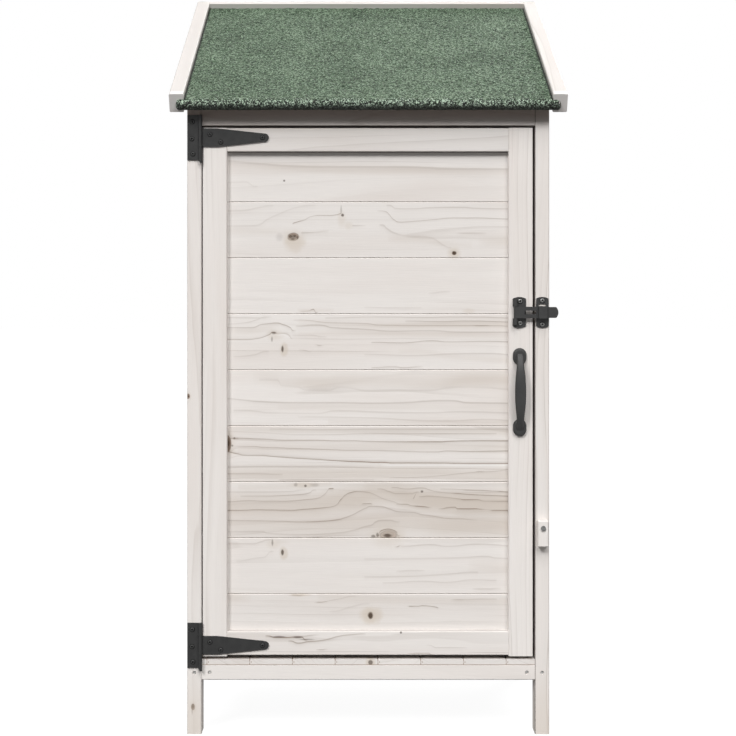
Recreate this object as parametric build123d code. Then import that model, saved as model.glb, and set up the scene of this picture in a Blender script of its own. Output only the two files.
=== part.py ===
from build123d import *
import os
from math import ceil, cos, floor, radians, sin, sqrt

# Wooden garden shed, tall and narrow, with one boarded door and a roof that rises to the back.
# Millimetres. +Z is up, the door faces -Y, and the origin is under the middle of the whole shed.

# Driving sizes of the body
body_width = 711.0
body_depth = 480.0
post_width = 28.0
post_depth = 45.0
edge_break = 1.5
sill_bottom = 106.0
sill_height = 29.5
sill_recess = 2.0
sill_thickness = 24.0
frame_screw_hole_radius = 3.6
frame_screw_hole_depth = 4.0
frame_screw_from_post = 16.0
floor_thickness = 11.0
floor_board_pitch = 84.0
floor_middle_joint = 19.0
wall_thickness = 12.0
wall_recess = 6.0
wall_board_pitch = 110.3
wall_lowest_joint = 162.8
groove_depth = 1.5
top_rail_height = 36.0
top_rail_thickness = 22.0
header_bottom = 1194.0
header_thickness = 22.0
back_header_height = 45.0

# Driving sizes of the roof
roof_pitch = 27.5
roof_front_top = 1252.0
roof_overhang_front = 35.0
roof_overhang_back = 27.0
batten_width = 28.0
batten_depth = 37.0
batten_gap = 4.0
back_board_thickness = 18.0
roof_board_thickness = 18.0
felt_thickness = 3.0
felt_drop = 10.0
felt_return = 16.0
lath_overlap = 11.5

# Driving sizes of the door
door_gap_hinge_side = 2.5
door_gap_latch_side = 4.0
door_gap_top = 3.5
door_gap_floor = 6.5
door_thickness = 24.0
stile_width = 48.0
door_rail_height = 47.0
door_rail_lift = 2.0
panel_recess = 11.0
panel_thickness = 10.0
panel_tongue = 7.0

# Driving sizes of the two strap hinges
hinge_top_height = 1171.0
hinge_bottom_height = 175.0
hinge_metal = 2.5
barrel_radius = 4.0
barrel_past_post = 2.0
barrel_tail = 6.0
hinge_pin_radius = 1.9
pin_clearance = 0.05
knuckle_gap = 0.4
hinge_plate_height = 88.0
hinge_plate_margin = 0.5
strap_root_height = 36.0
strap_tip_height = 16.0
strap_straight = 34.0
strap_length = 134.5

# Driving sizes of the flip latch
latch_height = 828.0
latch_metal = 2.0
latch_plate_inset = 14.0
latch_plate_width = 26.0
latch_plate_height = 60.6
latch_plate_arch = 3.2
latch_plate_corner = 2.5
latch_notch_depth = 3.0
latch_pin_radius = 1.5
latch_ear_radius = 4.5
latch_barrel_radius = 3.0
latch_pin_stand_off = 6.5
latch_ear_height = 13.0
latch_arm_height = 22.5
latch_arm_metal = 2.5
latch_arm_stand_off = 7.0
latch_arm_reach = 84.2
latch_slot_start = 18.0
latch_slot_length = 22.5
latch_slot_height = 7.0
latch_cap_start = 45.4
latch_cap_length = 16.4
latch_cap_height = 23.6
latch_cap_rise = 6.0
latch_tab_height = 21.4
latch_tab_arch = 4.5
latch_lug_clearance = 2.0
keeper_width = 24.4
keeper_window_width = 14.5
keeper_window_height = 4.4
keeper_window_lift = 12.3
keeper_window_corner = 3.0

# Driving sizes of the pull handle
handle_latch_gap = 39.5
handle_from_door_edge = 26.4
handle_spacing = 146.4
handle_foot_radius = 13.2
handle_foot_length = 7.0
handle_foot_thickness = 7.5
handle_foot_round = 5.0
handle_rise = 15.5
handle_neck_width = 14.5
handle_neck_from_middle = 50.0
handle_grip_width = 21.3
handle_neck_thickness = 8.0
handle_grip_thickness = 9.5
handle_bevel = 2.6
handle_bow_power = 4
handle_half_sections = 4

# Driving sizes of the turn button
button_height = 407.0
button_long_end = 37.0
button_short_end = 15.0
button_width = 21.0
button_thickness = 18.0
button_chamfer = 2.0
button_stand_off = 1.0
button_screw_radius = 2.5
button_screw_head_radius = 5.0
button_screw_head_thickness = 2.0
button_screw_bite = 25.0
button_screw_play = 0.3

# Heights on the roof, square to its slope, counted down from the tops of the battens
slope_cos = cos(radians(roof_pitch))
slope_sin = sin(radians(roof_pitch))
felt_top = -felt_drop
board_top = felt_top - felt_thickness
board_under = board_top - roof_board_thickness
nose_middle = (board_top + board_under) / 2
lath_radius = roof_board_thickness / 2
nose_radius = lath_radius + felt_thickness
nose_reach = nose_radius + nose_middle * slope_sin
roof_run = roof_overhang_front + body_depth + roof_overhang_back
roof_length = roof_run / slope_cos

# Places of the body, with the whole shed's length from roof edge to roof edge set about the origin
roof_front = (nose_reach - roof_run - batten_depth * slope_sin) / 2
front = roof_front + roof_overhang_front
back = front + body_depth
post_back_face = front + post_depth
back_post_face = back - post_depth
half_body = body_width / 2
half_opening = half_body - post_width
post_middle = half_body - post_width / 2
batten_inner = half_body + batten_gap
batten_outer = batten_inner + batten_width
sill_top = sill_bottom + sill_height
floor_top = sill_top + floor_thickness
wall_outer = half_body - wall_recess
wall_inner = wall_outer - wall_thickness
back_wall_outer = back - wall_recess
back_wall_inner = back_wall_outer - wall_thickness
reach = 2 * (roof_length + roof_front_top)

# Places of the door
door_left = -half_opening + door_gap_hinge_side
door_right = half_opening - door_gap_latch_side
door_bottom = floor_top + door_gap_floor
door_top = header_bottom - door_gap_top
door_back = front + door_thickness
door_rail_bottom = door_bottom + door_rail_lift
panel_left = door_left + stile_width
panel_right = door_right - stile_width
panel_bottom = door_rail_bottom + door_rail_height
panel_top = door_top - door_rail_height
panel_front = front + panel_recess
panel_back = panel_front + panel_thickness

# Axes of the hinges and of the latch
hinge_axis_x = -half_opening - barrel_past_post
hinge_axis_y = front - barrel_radius
latch_plate_left = door_right - latch_plate_inset - latch_plate_width
latch_axis_x = latch_plate_left + latch_ear_radius
latch_axis_y = front - latch_pin_stand_off

# Height of the handle's middle, under the latch
handle_end = handle_spacing / 2 + handle_foot_radius
handle_middle = latch_height - latch_plate_height / 2 - handle_latch_gap - handle_end

# On this plane x is the shed's x, y runs up the slope and z stands square to the roof
roof_plane = Plane(
    origin=(0, roof_front, roof_front_top),
    x_dir=(1, 0, 0),
    z_dir=(0, -slope_sin, slope_cos),
)

# On this plane x is the shed's x, y is its height and z stands out of the posts' front face
front_plane = Plane(origin=(0, front, 0), x_dir=(1, 0, 0), z_dir=(0, -1, 0))


def block(x_low, x_high, y_low, y_high, z_low, z_high):
    """A box between two corners."""
    size = (x_high - x_low, y_high - y_low, z_high - z_low)
    middle = ((x_low + x_high) / 2, (y_low + y_high) / 2, (z_low + z_high) / 2)
    return Pos(*middle) * Box(*size)


def bar(x_low, x_high, y_low, y_high, z_low, z_high, along):
    """A planed bar whose long edges are slightly broken."""
    solid = block(x_low, x_high, y_low, y_high, z_low, z_high)
    return chamfer(solid.edges().filter_by(along), edge_break)


def roof_block(x_low, x_high, u_low, u_high, w_low, w_high):
    """A box on the roof: u runs up the slope and w stands square to it."""
    return roof_plane.location * block(x_low, x_high, u_low, u_high, w_low, w_high)


def front_block(x_low, x_high, z_low, z_high, out_low, out_high):
    """A box on the front face, between two distances out of that face."""
    return front_plane.location * block(x_low, x_high, z_low, z_high, out_low, out_high)


def above_roof_line(drop):
    """All the space above a plane that lies a drop below the underside of the roof board."""
    return roof_block(-reach, reach, -reach, reach, board_under - drop, reach)


def underside_height(y):
    """Height of the underside of the roof board at a depth."""
    along = (y - roof_front + board_under * slope_sin) / slope_cos
    return roof_front_top + along * slope_sin + board_under * slope_cos


def upright(x, y, z_low, z_high, radius):
    """A round bar standing along z."""
    return Pos(x, y, (z_low + z_high) / 2) * Cylinder(radius, z_high - z_low)


def mirrored(solid):
    """The same piece on the other side of the shed."""
    return mirror(solid, about=Plane.YZ)


def joint_heights(low, high):
    """Heights of the joints between wall boards that lie well inside a span."""
    first = ceil((low + groove_depth - wall_lowest_joint) / wall_board_pitch)
    last = floor((high - groove_depth - wall_lowest_joint) / wall_board_pitch)
    return [wall_lowest_joint + wall_board_pitch * step for step in range(first, last + 1)]


def board_grooves(solid, heights, faces, length, along):
    """Cut the V groove of each joint between boards into the faces of a wall."""
    side = groove_depth * sqrt(2)
    if along == Axis.X:
        cutter = Rot(45, 0, 0) * Box(length, side, side)
        return solid - [Pos(0, face, height) * cutter for face in faces for height in heights]
    cutter = Rot(0, 45, 0) * Box(side, length, side)
    return solid - [Pos(face, 0, height) * cutter for face in faces for height in heights]


def frame_screw_hole(x, face):
    """The sunk hole of a screw that holds the frame together, at half the height of the bottom rail."""
    hole = Cylinder(frame_screw_hole_radius, 2 * frame_screw_hole_depth)
    return Pos(x, face, (sill_bottom + sill_top) / 2) * (Rot(90, 0, 0) * hole)


def front_post():
    """A front leg, from the ground to the slope of the roof."""
    top = underside_height(post_back_face)
    solid = bar(half_opening, half_body, front, post_back_face, 0, top, Axis.Z)
    return solid - above_roof_line(0) - frame_screw_hole(post_middle, front)


def back_post():
    """A back leg, which is longer because the roof rises."""
    top = underside_height(back)
    solid = bar(half_opening, half_body, back_post_face, back, 0, top, Axis.Z)
    return solid - above_roof_line(0)


def front_header():
    """The bar over the doorway, its top cut to the slope."""
    inner = front + header_thickness
    top = underside_height(inner)
    solid = bar(-half_opening, half_opening, front, inner, header_bottom, top, Axis.X)
    return solid - above_roof_line(0)


def back_header_bottom():
    """Height of the lower edge of the back header."""
    return underside_height(back - header_thickness) - back_header_height


def back_header():
    """The bar over the back wall, its top cut to the slope."""
    inner = back - header_thickness
    top = underside_height(back)
    solid = bar(-half_opening, half_opening, inner, back, back_header_bottom(), top, Axis.X)
    return solid - above_roof_line(0)


def side_top_rail():
    """The sloping rail under the roof board, between the two posts of one side."""
    outer = half_body - sill_recess
    inner = outer - top_rail_thickness
    slope = roof_block(inner, outer, 0, roof_length, board_under - top_rail_height, board_under)
    return slope & block(inner, outer, post_back_face, back_post_face, 0, reach)


def side_sill():
    """The bottom rail of one side."""
    outer = half_body - sill_recess
    return bar(half_opening, outer, post_back_face, back_post_face, sill_bottom, sill_top, Axis.Y)


def front_sill():
    """The bottom rail under the doorway."""
    outer = front + sill_recess
    inner = outer + sill_thickness
    solid = bar(-half_opening, half_opening, outer, inner, sill_bottom, sill_top, Axis.X)
    hole = frame_screw_hole(half_opening - frame_screw_from_post, outer)
    return solid - hole - mirrored(hole)


def back_sill():
    """The bottom rail of the back."""
    outer = back - sill_recess
    inner = outer - sill_thickness
    return bar(-half_opening, half_opening, inner, outer, sill_bottom, sill_top, Axis.X)


def floor_boards():
    """The floor, laid on the bottom rails round the posts, with its joints running to the back."""
    between_posts = block(
        -half_opening, half_opening, front + sill_recess, back_wall_inner, sill_top, floor_top
    )
    between_walls = block(
        -wall_inner, wall_inner, post_back_face, back_post_face, sill_top, floor_top
    )
    side = groove_depth * sqrt(2)
    cutter = Rot(0, 45, 0) * Box(side, 2 * body_depth, side)
    steps = floor((half_opening - floor_middle_joint - groove_depth) / floor_board_pitch)
    joints = [floor_middle_joint + floor_board_pitch * step for step in range(-steps, steps + 1)]
    return between_posts + between_walls - [Pos(x, 0, floor_top) * cutter for x in joints]


def side_wall():
    """One side's horizontal boards, cut to the slope along the top rail."""
    top = underside_height(back_post_face)
    solid = block(wall_inner, wall_outer, post_back_face, back_post_face, sill_top, top)
    heights = joint_heights(sill_top, top)
    grooved = board_grooves(solid, heights, (wall_inner, wall_outer), 2 * body_depth, Axis.Y)
    return grooved - above_roof_line(top_rail_height)


def back_wall():
    """The back's horizontal boards."""
    top = back_header_bottom()
    solid = block(-half_opening, half_opening, back_wall_inner, back_wall_outer, sill_top, top)
    heights = joint_heights(sill_top, top)
    return board_grooves(solid, heights, (back_wall_inner, back_wall_outer), body_width, Axis.X)


def roof_board():
    """The boarding under the felt, between the side battens."""
    length = roof_length - back_board_thickness
    return roof_block(-batten_inner, batten_inner, 0, length, board_under, board_top)


def roof_batten():
    """The batten along one side of the roof, its ends cut square to the slope."""
    solid = block(batten_inner, batten_outer, 0, roof_length, -batten_depth, 0)
    return roof_plane.location * chamfer(solid.edges().filter_by(Axis.Y), edge_break)


def roof_back_board():
    """The board across the back end of the roof, between the battens."""
    start = roof_length - back_board_thickness
    return roof_block(-batten_inner, batten_inner, start, roof_length, -batten_depth, 0)


def half_round(radius, half_length):
    """A half round bar in front of the roof's front edge."""
    round_bar = Pos(0, 0, nose_middle) * Rot(0, 90, 0) * Cylinder(radius, 2 * half_length)
    return roof_plane.location * (round_bar & block(-reach, reach, -radius, 0, -reach, reach))


def roof_front_lath():
    """The half round lath along the roof's front edge, over the battens' front ends."""
    return half_round(lath_radius, batten_inner + lath_overlap)


def roof_felt():
    """The felt: over the roof board, round the lath and back under the board."""
    length = roof_length - back_board_thickness
    sheet = roof_block(-batten_inner, batten_inner, 0, length, board_top, felt_top)
    under = board_under - felt_thickness
    turned_in = roof_block(-batten_inner, batten_inner, 0, felt_return, under, board_under)
    roll = half_round(nose_radius, batten_inner + lath_overlap + felt_thickness)
    return sheet + turned_in + (roll - roof_front_lath())


def door_stile(x_low, x_high, groove_low, groove_high):
    """An upright of the door frame, grooved for the panel's edge."""
    solid = bar(x_low, x_high, front, door_back, door_bottom, door_top, Axis.Z)
    z_low = panel_bottom - panel_tongue
    z_high = panel_top + panel_tongue
    return solid - block(groove_low, groove_high, panel_front, panel_back, z_low, z_high)


def door_rail(z_low, z_high, groove_low, groove_high):
    """A cross rail of the door frame, grooved for the panel's edge."""
    solid = bar(panel_left, panel_right, front, door_back, z_low, z_high, Axis.X)
    return solid - block(
        panel_left, panel_right, panel_front, panel_back, groove_low, groove_high
    )


def door_panel():
    """The horizontal boards of the door, held in the frame's grooves."""
    x_low = panel_left - panel_tongue
    x_high = panel_right + panel_tongue
    z_low = panel_bottom - panel_tongue
    z_high = panel_top + panel_tongue
    solid = block(x_low, x_high, panel_front, panel_back, z_low, z_high)
    heights = joint_heights(panel_bottom, panel_top)
    return board_grooves(solid, heights, (panel_front, panel_back), body_width, Axis.X)


def hinge_plate(height):
    """The fixed leaf of a hinge: a plate on the post with a knuckle above and below the strap."""
    left = -half_body + hinge_plate_margin
    low = height - hinge_plate_height / 2
    high = height + hinge_plate_height / 2
    plate = front_block(left, hinge_axis_x, low, high, 0, hinge_metal)
    for_strap = strap_root_height / 2 + knuckle_gap
    plate = plate - front_block(
        hinge_axis_x - barrel_radius - knuckle_gap, hinge_axis_x,
        height - for_strap, height + for_strap, 0, hinge_metal,
    )
    upper = upright(hinge_axis_x, hinge_axis_y, height + for_strap, high, barrel_radius)
    lower = upright(
        hinge_axis_x, hinge_axis_y, low - barrel_tail, height - for_strap, barrel_radius
    )
    bore = upright(
        hinge_axis_x, hinge_axis_y, low - barrel_tail, high, hinge_pin_radius + pin_clearance
    )
    return plate + upper + lower - bore - tail_slant(low)


def tail_slant(low):
    """What the slanting lower end of a hinge's barrel leaves out."""
    left = hinge_axis_x - barrel_radius
    corners = ((left, low), (left, low - barrel_tail), (hinge_axis_x, low - barrel_tail))
    wedge = extrude(make_face(Polyline(*corners, close=True)), 2 * barrel_radius)
    return front_plane.location * wedge


def hinge_strap(height):
    """The moving leaf of a hinge: a tapering strap on the door, rolled round the pin."""
    root = strap_root_height / 2
    tip = strap_tip_height / 2
    shoulder = hinge_axis_x + strap_straight
    tip_middle = hinge_axis_x + strap_length - tip
    outline = [
        Polyline((tip_middle, height - tip), (shoulder, height - root), (hinge_axis_x, height - root),
                 (hinge_axis_x, height + root), (shoulder, height + root), (tip_middle, height + tip)),
        ThreePointArc((tip_middle, height + tip), (tip_middle + tip, height), (tip_middle, height - tip)),
    ]
    strap = front_plane.location * extrude(make_face(outline), hinge_metal)
    knuckle = upright(hinge_axis_x, hinge_axis_y, height - root, height + root, barrel_radius)
    bore = upright(
        hinge_axis_x, hinge_axis_y, height - root, height + root, hinge_pin_radius + pin_clearance
    )
    return strap + knuckle - bore


def hinge_pin(height):
    """The pin that joins the two leaves of a hinge."""
    low = height - hinge_plate_height / 2
    high = height + hinge_plate_height / 2
    return upright(hinge_axis_x, hinge_axis_y, low, high, hinge_pin_radius)


def arched_plate(x_low, x_high):
    """A flat plate of the latch with arched upper and lower ends and round corners."""
    middle = (x_low + x_high) / 2
    low = latch_height - latch_plate_height / 2
    high = latch_height + latch_plate_height / 2
    outline = [
        Line((x_low, low + latch_plate_arch), (x_low, high - latch_plate_arch)),
        ThreePointArc((x_low, high - latch_plate_arch), (middle, high), (x_high, high - latch_plate_arch)),
        Line((x_high, high - latch_plate_arch), (x_high, low + latch_plate_arch)),
        ThreePointArc((x_high, low + latch_plate_arch), (middle, low), (x_low, low + latch_plate_arch)),
    ]
    plate = front_plane.location * extrude(make_face(outline), latch_metal)
    return fillet(plate.edges().filter_by(Axis.Y), latch_plate_corner)


def latch_base():
    """The latch's plate on the door, with an ear above and below the arm for its pin."""
    solid = arched_plate(latch_plate_left, latch_plate_left + latch_plate_width)
    inner = latch_arm_height / 2 + knuckle_gap
    outer = inner + latch_ear_height
    solid = solid - front_block(
        latch_plate_left, latch_plate_left + latch_notch_depth,
        latch_height - inner, latch_height + inner, 0, latch_metal,
    )
    right = latch_axis_x + latch_ear_radius
    for low, high in ((latch_height + inner, latch_height + outer),
                      (latch_height - outer, latch_height - inner)):
        solid = solid + upright(latch_axis_x, latch_axis_y, low, high, latch_ear_radius)
        solid = solid + front_block(latch_plate_left, right, low, high, 0, latch_pin_stand_off)
    bore = upright(
        latch_axis_x, latch_axis_y, latch_height - outer, latch_height + outer,
        latch_pin_radius + pin_clearance,
    )
    return solid - bore


def latch_pin():
    """The upright pin that the latch arm turns on."""
    half = latch_arm_height / 2 + knuckle_gap + latch_ear_height
    return upright(
        latch_axis_x, latch_axis_y, latch_height - half, latch_height + half, latch_pin_radius
    )


def latch_arm():
    """The flip arm: a slotted bar, a hollow cap that closes over the keeper, and a finger tab."""
    half = latch_arm_height / 2
    tab_half = latch_tab_height / 2
    cap_half = latch_cap_height / 2
    cap_low = latch_axis_x + latch_cap_start
    cap_high = cap_low + latch_cap_length
    tab_end = latch_axis_x + latch_arm_reach
    tab_shoulder = tab_end - latch_tab_arch
    face = latch_arm_stand_off + latch_arm_metal
    knuckle = upright(
        latch_axis_x, latch_axis_y, latch_height - half, latch_height + half, latch_barrel_radius
    )
    arm = front_block(
        latch_axis_x, cap_high, latch_height - half, latch_height + half, latch_arm_stand_off, face
    )
    tab_low = latch_height - tab_half
    tab_high = latch_height + tab_half
    outline = [
        Polyline((tab_shoulder, tab_low), (cap_high, tab_low),
                 (cap_high, tab_high), (tab_shoulder, tab_high)),
        ThreePointArc((tab_shoulder, tab_high), (tab_end, latch_height), (tab_shoulder, tab_low)),
    ]
    tab = extrude(make_face(outline), latch_arm_metal)
    tab = front_plane.location * (Pos(0, 0, latch_arm_stand_off) * tab)
    cap = front_block(
        cap_low, cap_high, latch_height - cap_half, latch_height + cap_half,
        latch_arm_stand_off, face + latch_cap_rise,
    )
    hollow = front_block(
        cap_low + latch_metal, cap_high - latch_metal,
        latch_height - cap_half + latch_metal, latch_height + cap_half - latch_metal,
        latch_arm_stand_off, face + latch_cap_rise - latch_metal,
    )
    slot_low = latch_axis_x + latch_slot_start
    slot = front_block(
        slot_low, slot_low + latch_slot_length,
        latch_height - latch_slot_height / 2, latch_height + latch_slot_height / 2,
        latch_arm_stand_off, face,
    )
    bore = upright(
        latch_axis_x, latch_axis_y, latch_height - half, latch_height + half,
        latch_pin_radius + pin_clearance,
    )
    return knuckle + arm + tab + cap - hollow - slot - bore


def latch_keeper():
    """The plate on the post, with the lug that stands inside the closed latch's cap."""
    inset = latch_metal + latch_lug_clearance
    lug_left = latch_axis_x + latch_cap_start + inset
    lug_right = latch_axis_x + latch_cap_start + latch_cap_length - inset
    middle = (lug_left + lug_right) / 2
    lug_half = latch_cap_height / 2 - inset
    plate = arched_plate(middle - keeper_width / 2, middle + keeper_width / 2)
    lug = front_block(
        lug_left, lug_right, latch_height - lug_half, latch_height + lug_half,
        0, latch_arm_stand_off + latch_arm_metal,
    )
    opening = Rectangle(keeper_window_width, keeper_window_height)
    opening = fillet(opening.vertices().group_by(Axis.Y)[-1], keeper_window_corner)
    window_height = latch_height + keeper_window_lift + keeper_window_height / 2
    window = front_plane.location * (Pos(middle, window_height, 0) * extrude(opening, latch_metal))
    return plate + lug - window


def door_handle():
    """A cast pull: two oval feet and a grip that narrows to its necks and bows off the door."""
    x = door_right - handle_from_door_edge
    half = handle_spacing / 2
    foot_out = handle_foot_thickness / 2
    sections = []
    for step in range(-handle_half_sections, handle_half_sections + 1):
        place = sin(radians(90) * step / handle_half_sections)
        fullness = max(0, 1 - (half * place / handle_neck_from_middle) ** 2)
        out = foot_out + handle_rise * (1 - place ** handle_bow_power)
        fall = handle_bow_power * handle_rise * place ** (handle_bow_power - 1) / half
        width = handle_neck_width + (handle_grip_width - handle_neck_width) * fullness
        thickness = handle_neck_thickness + (handle_grip_thickness - handle_neck_thickness) * fullness
        plane = Plane(
            origin=(x, front - out, handle_middle + half * place),
            x_dir=(1, 0, 0),
            z_dir=(0, fall, 1),
        )
        outline = Rectangle(width, thickness)
        sections.append(plane * chamfer(outline.vertices(), handle_bevel))
    solid = loft(sections)
    foot = SlotCenterToCenter(handle_foot_length, 2 * handle_foot_radius, rotation=90)
    foot = extrude(foot, handle_foot_thickness)
    foot = fillet(foot.edges().group_by(Axis.Z)[-1], handle_foot_round)
    inward = half - handle_foot_length / 2
    for height in (handle_middle - inward, handle_middle + inward):
        solid = solid + front_plane.location * (Pos(x, height, 0) * foot)
    return solid


def turn_button():
    """The wooden turn button on the latch post, hanging clear of the door."""
    solid = front_block(
        post_middle - button_width / 2, post_middle + button_width / 2,
        button_height - button_long_end, button_height + button_short_end,
        button_stand_off, button_stand_off + button_thickness,
    )
    solid = chamfer(solid.edges(), button_chamfer)
    return solid - button_bore()


def button_bore():
    """The hole for the button's screw, through the button and into the post."""
    length = button_screw_bite + button_stand_off + button_thickness
    middle = length / 2 - button_screw_bite
    hole = Cylinder(button_screw_radius + pin_clearance, length)
    return front_plane.location * (Pos(post_middle, button_height, middle) * hole)


def turn_button_screw():
    """The screw that the button turns on."""
    head_out = button_stand_off + button_thickness + button_screw_play
    length = button_screw_bite + head_out
    shank = Pos(0, 0, length / 2 - button_screw_bite) * Cylinder(button_screw_radius, length)
    head = Pos(0, 0, head_out + button_screw_head_thickness / 2) * Cylinder(
        button_screw_head_radius, button_screw_head_thickness
    )
    return front_plane.location * (Pos(post_middle, button_height, 0) * (shank + head))


def shed():
    """Every piece of the shed by name."""
    right_post = front_post()
    pieces = {
        "post_front_left": mirrored(right_post),
        "post_front_right": right_post - button_bore(),
        "post_back_left": mirrored(back_post()),
        "post_back_right": back_post(),
        "front_header": front_header(),
        "back_header": back_header(),
        "top_rail_left": mirrored(side_top_rail()),
        "top_rail_right": side_top_rail(),
        "front_sill": front_sill(),
        "back_sill": back_sill(),
        "side_sill_left": mirrored(side_sill()),
        "side_sill_right": side_sill(),
        "floor": floor_boards(),
        "left_wall": mirrored(side_wall()),
        "right_wall": side_wall(),
        "back_wall": back_wall(),
        "roof_board": roof_board(),
        "roof_felt": roof_felt(),
        "roof_front_lath": roof_front_lath(),
        "roof_batten_left": mirrored(roof_batten()),
        "roof_batten_right": roof_batten(),
        "roof_back_board": roof_back_board(),
        "door_stile_left": door_stile(door_left, panel_left, panel_left - panel_tongue, panel_left),
        "door_stile_right": door_stile(panel_right, door_right, panel_right, panel_right + panel_tongue),
        "door_rail_top": door_rail(panel_top, door_top, panel_top, panel_top + panel_tongue),
        "door_rail_bottom": door_rail(
            door_rail_bottom, panel_bottom, panel_bottom - panel_tongue, panel_bottom
        ),
        "door_panel": door_panel(),
        "door_handle": door_handle(),
        "latch_base": latch_base(),
        "latch_pin": latch_pin(),
        "latch_arm": latch_arm(),
        "latch_keeper": latch_keeper(),
        "turn_button": turn_button(),
        "turn_button_screw": turn_button_screw(),
    }
    for place, height in (("top", hinge_top_height), ("bottom", hinge_bottom_height)):
        pieces["hinge_" + place + "_plate"] = hinge_plate(height)
        pieces["hinge_" + place + "_strap"] = hinge_strap(height)
        pieces["hinge_" + place + "_pin"] = hinge_pin(height)
    return pieces


os.makedirs("parts", exist_ok=True)
for name, solid in shed().items():
    export_step(solid, os.path.join("parts", name + ".step"))
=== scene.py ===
from functools import partialmethod, reduce
from itertools import accumulate
import math

import bmesh
import bpy
import numpy as np
from mathutils import Matrix, Vector


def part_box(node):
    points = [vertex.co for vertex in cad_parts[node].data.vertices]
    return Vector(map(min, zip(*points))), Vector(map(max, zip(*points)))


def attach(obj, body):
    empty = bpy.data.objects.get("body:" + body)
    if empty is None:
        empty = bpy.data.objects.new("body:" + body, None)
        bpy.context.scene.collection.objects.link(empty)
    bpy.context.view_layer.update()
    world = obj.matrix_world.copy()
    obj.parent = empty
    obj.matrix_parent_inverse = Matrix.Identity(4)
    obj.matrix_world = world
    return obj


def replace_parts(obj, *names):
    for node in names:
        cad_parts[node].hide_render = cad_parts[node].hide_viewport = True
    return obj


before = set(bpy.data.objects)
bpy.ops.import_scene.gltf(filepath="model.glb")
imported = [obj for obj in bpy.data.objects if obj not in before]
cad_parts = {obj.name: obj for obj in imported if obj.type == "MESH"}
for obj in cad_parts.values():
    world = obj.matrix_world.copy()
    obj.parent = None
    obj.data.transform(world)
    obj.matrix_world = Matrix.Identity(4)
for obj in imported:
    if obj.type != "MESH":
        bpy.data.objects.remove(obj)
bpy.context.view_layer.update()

# A wooden garden shed. Metres, in the frame of the CAD: +Z is up and the door faces -Y.

MM = 0.001
X, Y, Z = range(3)

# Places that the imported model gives
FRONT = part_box("post_front_left")[0].y
SILL_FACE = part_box("front_sill")[0].y
FLOOR_LOW, FLOOR_HIGH = (corner.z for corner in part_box("floor"))
HEADER_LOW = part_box("front_header")[0].z
RAIL_LOW, RAIL_HIGH = (corner.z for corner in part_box("door_rail_top"))
STILE_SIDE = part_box("door_stile_right")[1].x
POST_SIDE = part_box("post_front_right")[0].x
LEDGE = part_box("door_rail_bottom")[1].z

# The roof: its slope, its front edge and the layers above its boards, square to the slope
ROOF_PITCH = math.radians(27.5)
SLOPE_COS = math.cos(ROOF_PITCH)
SLOPE_SIN = math.sin(ROOF_PITCH)
FRONT_OVERHANG = 0.035
BODY_DEPTH = 0.480
BACK_OVERHANG = 0.027
ROOF_FRONT = FRONT - FRONT_OVERHANG
ROOF_FRONT_HEIGHT = 1.252
ROOF_LENGTH = (FRONT_OVERHANG + BODY_DEPTH + BACK_OVERHANG) / SLOPE_COS
BACK_BOARD_WIDTH = 0.018
BATTEN_INNER = 0.3595
FELT_TOP = -0.010
BOARD_TOP = -0.013
BOARD_UNDER = -0.031
FELT_END = ROOF_LENGTH - BACK_BOARD_WIDTH

# Linear colours of the finishes, and of painted shade and painted highlights
WHITE = (1.0, 1.0, 1.0)
WOOD_PALE = (0.782, 0.742, 0.710)
WOOD_WARM = (0.705, 0.642, 0.598)
WOOD_SMOKE = (0.580, 0.512, 0.452)
WOOD_LINE = (0.285, 0.225, 0.180)
# pale colour of painted highlights
WOOD_GLINT = (0.850, 0.825, 0.800)
WOOD_FOOT = (0.640, 0.560, 0.480)
# near-black painted shade for gaps, recesses and undersides
WOOD_PAINTED_SHADE = (0.055, 0.040, 0.032)
# colour of the painted shadow under the roof's edge
WOOD_SHADED = (0.270, 0.180, 0.140)
KNOT_BEIGE = (0.610, 0.535, 0.455)
KNOT_BROWN = (0.300, 0.195, 0.128)
KNOT_DARK = (0.060, 0.038, 0.024)
FELT_MIDDLE = (0.040, 0.077, 0.039)
FELT_DARK = (0.006, 0.012, 0.007)
FELT_LIGHT = (0.250, 0.330, 0.236)
FELT_FLECK = (0.530, 0.660, 0.520)
FELT_WARM = (0.220, 0.190, 0.160)
# bitumen between the granules, also used as painted shade on the felt
BITUMEN_AND_PAINTED_SHADE = (0.020, 0.022, 0.019)
IRON = (0.026, 0.026, 0.026)
IRON_WORN = (0.040, 0.040, 0.039)
HINGE_IRON = (0.0142, 0.0142, 0.0142)
HINGE_WORN = (0.0255, 0.0255, 0.025)
# near-black painted shadow for screw recesses and the rings round the heads
PAINTED_HOLE_SHADOW = (0.006, 0.006, 0.006)
STEEL = (0.21, 0.21, 0.205)
STEEL_SCRATCHED = (0.126, 0.126, 0.123)
STEEL_BRIGHT = (0.60, 0.60, 0.59)
STEEL_BRIGHT_SCRATCHED = (0.36, 0.36, 0.354)


class Field:
    """A value that varies over a surface. Sums and products of fields add math nodes."""

    def __init__(self, socket):
        self.socket = socket
        self.tree = socket.id_data

    def calc(self, operation, *others):
        return Field(add(self.tree, "Math", (self, *others), operation=operation).outputs[0])

    __add__ = partialmethod(calc, "ADD")
    __sub__ = partialmethod(calc, "SUBTRACT")
    __mul__ = partialmethod(calc, "MULTIPLY")
    __truediv__ = partialmethod(calc, "DIVIDE")
    power = partialmethod(calc, "POWER")
    scaled = partialmethod(calc, "MULTIPLY_ADD")  # by a factor, then a shift

    def smooth(self, low, high):
        """0 at low, 1 at high, smooth between them. Low may be the larger one."""
        limits = {"Value": self, "From Min": low, "From Max": high}
        return Field(add(self.tree, "MapRange", limits, interpolation_type="SMOOTHSTEP").outputs[0])


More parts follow.
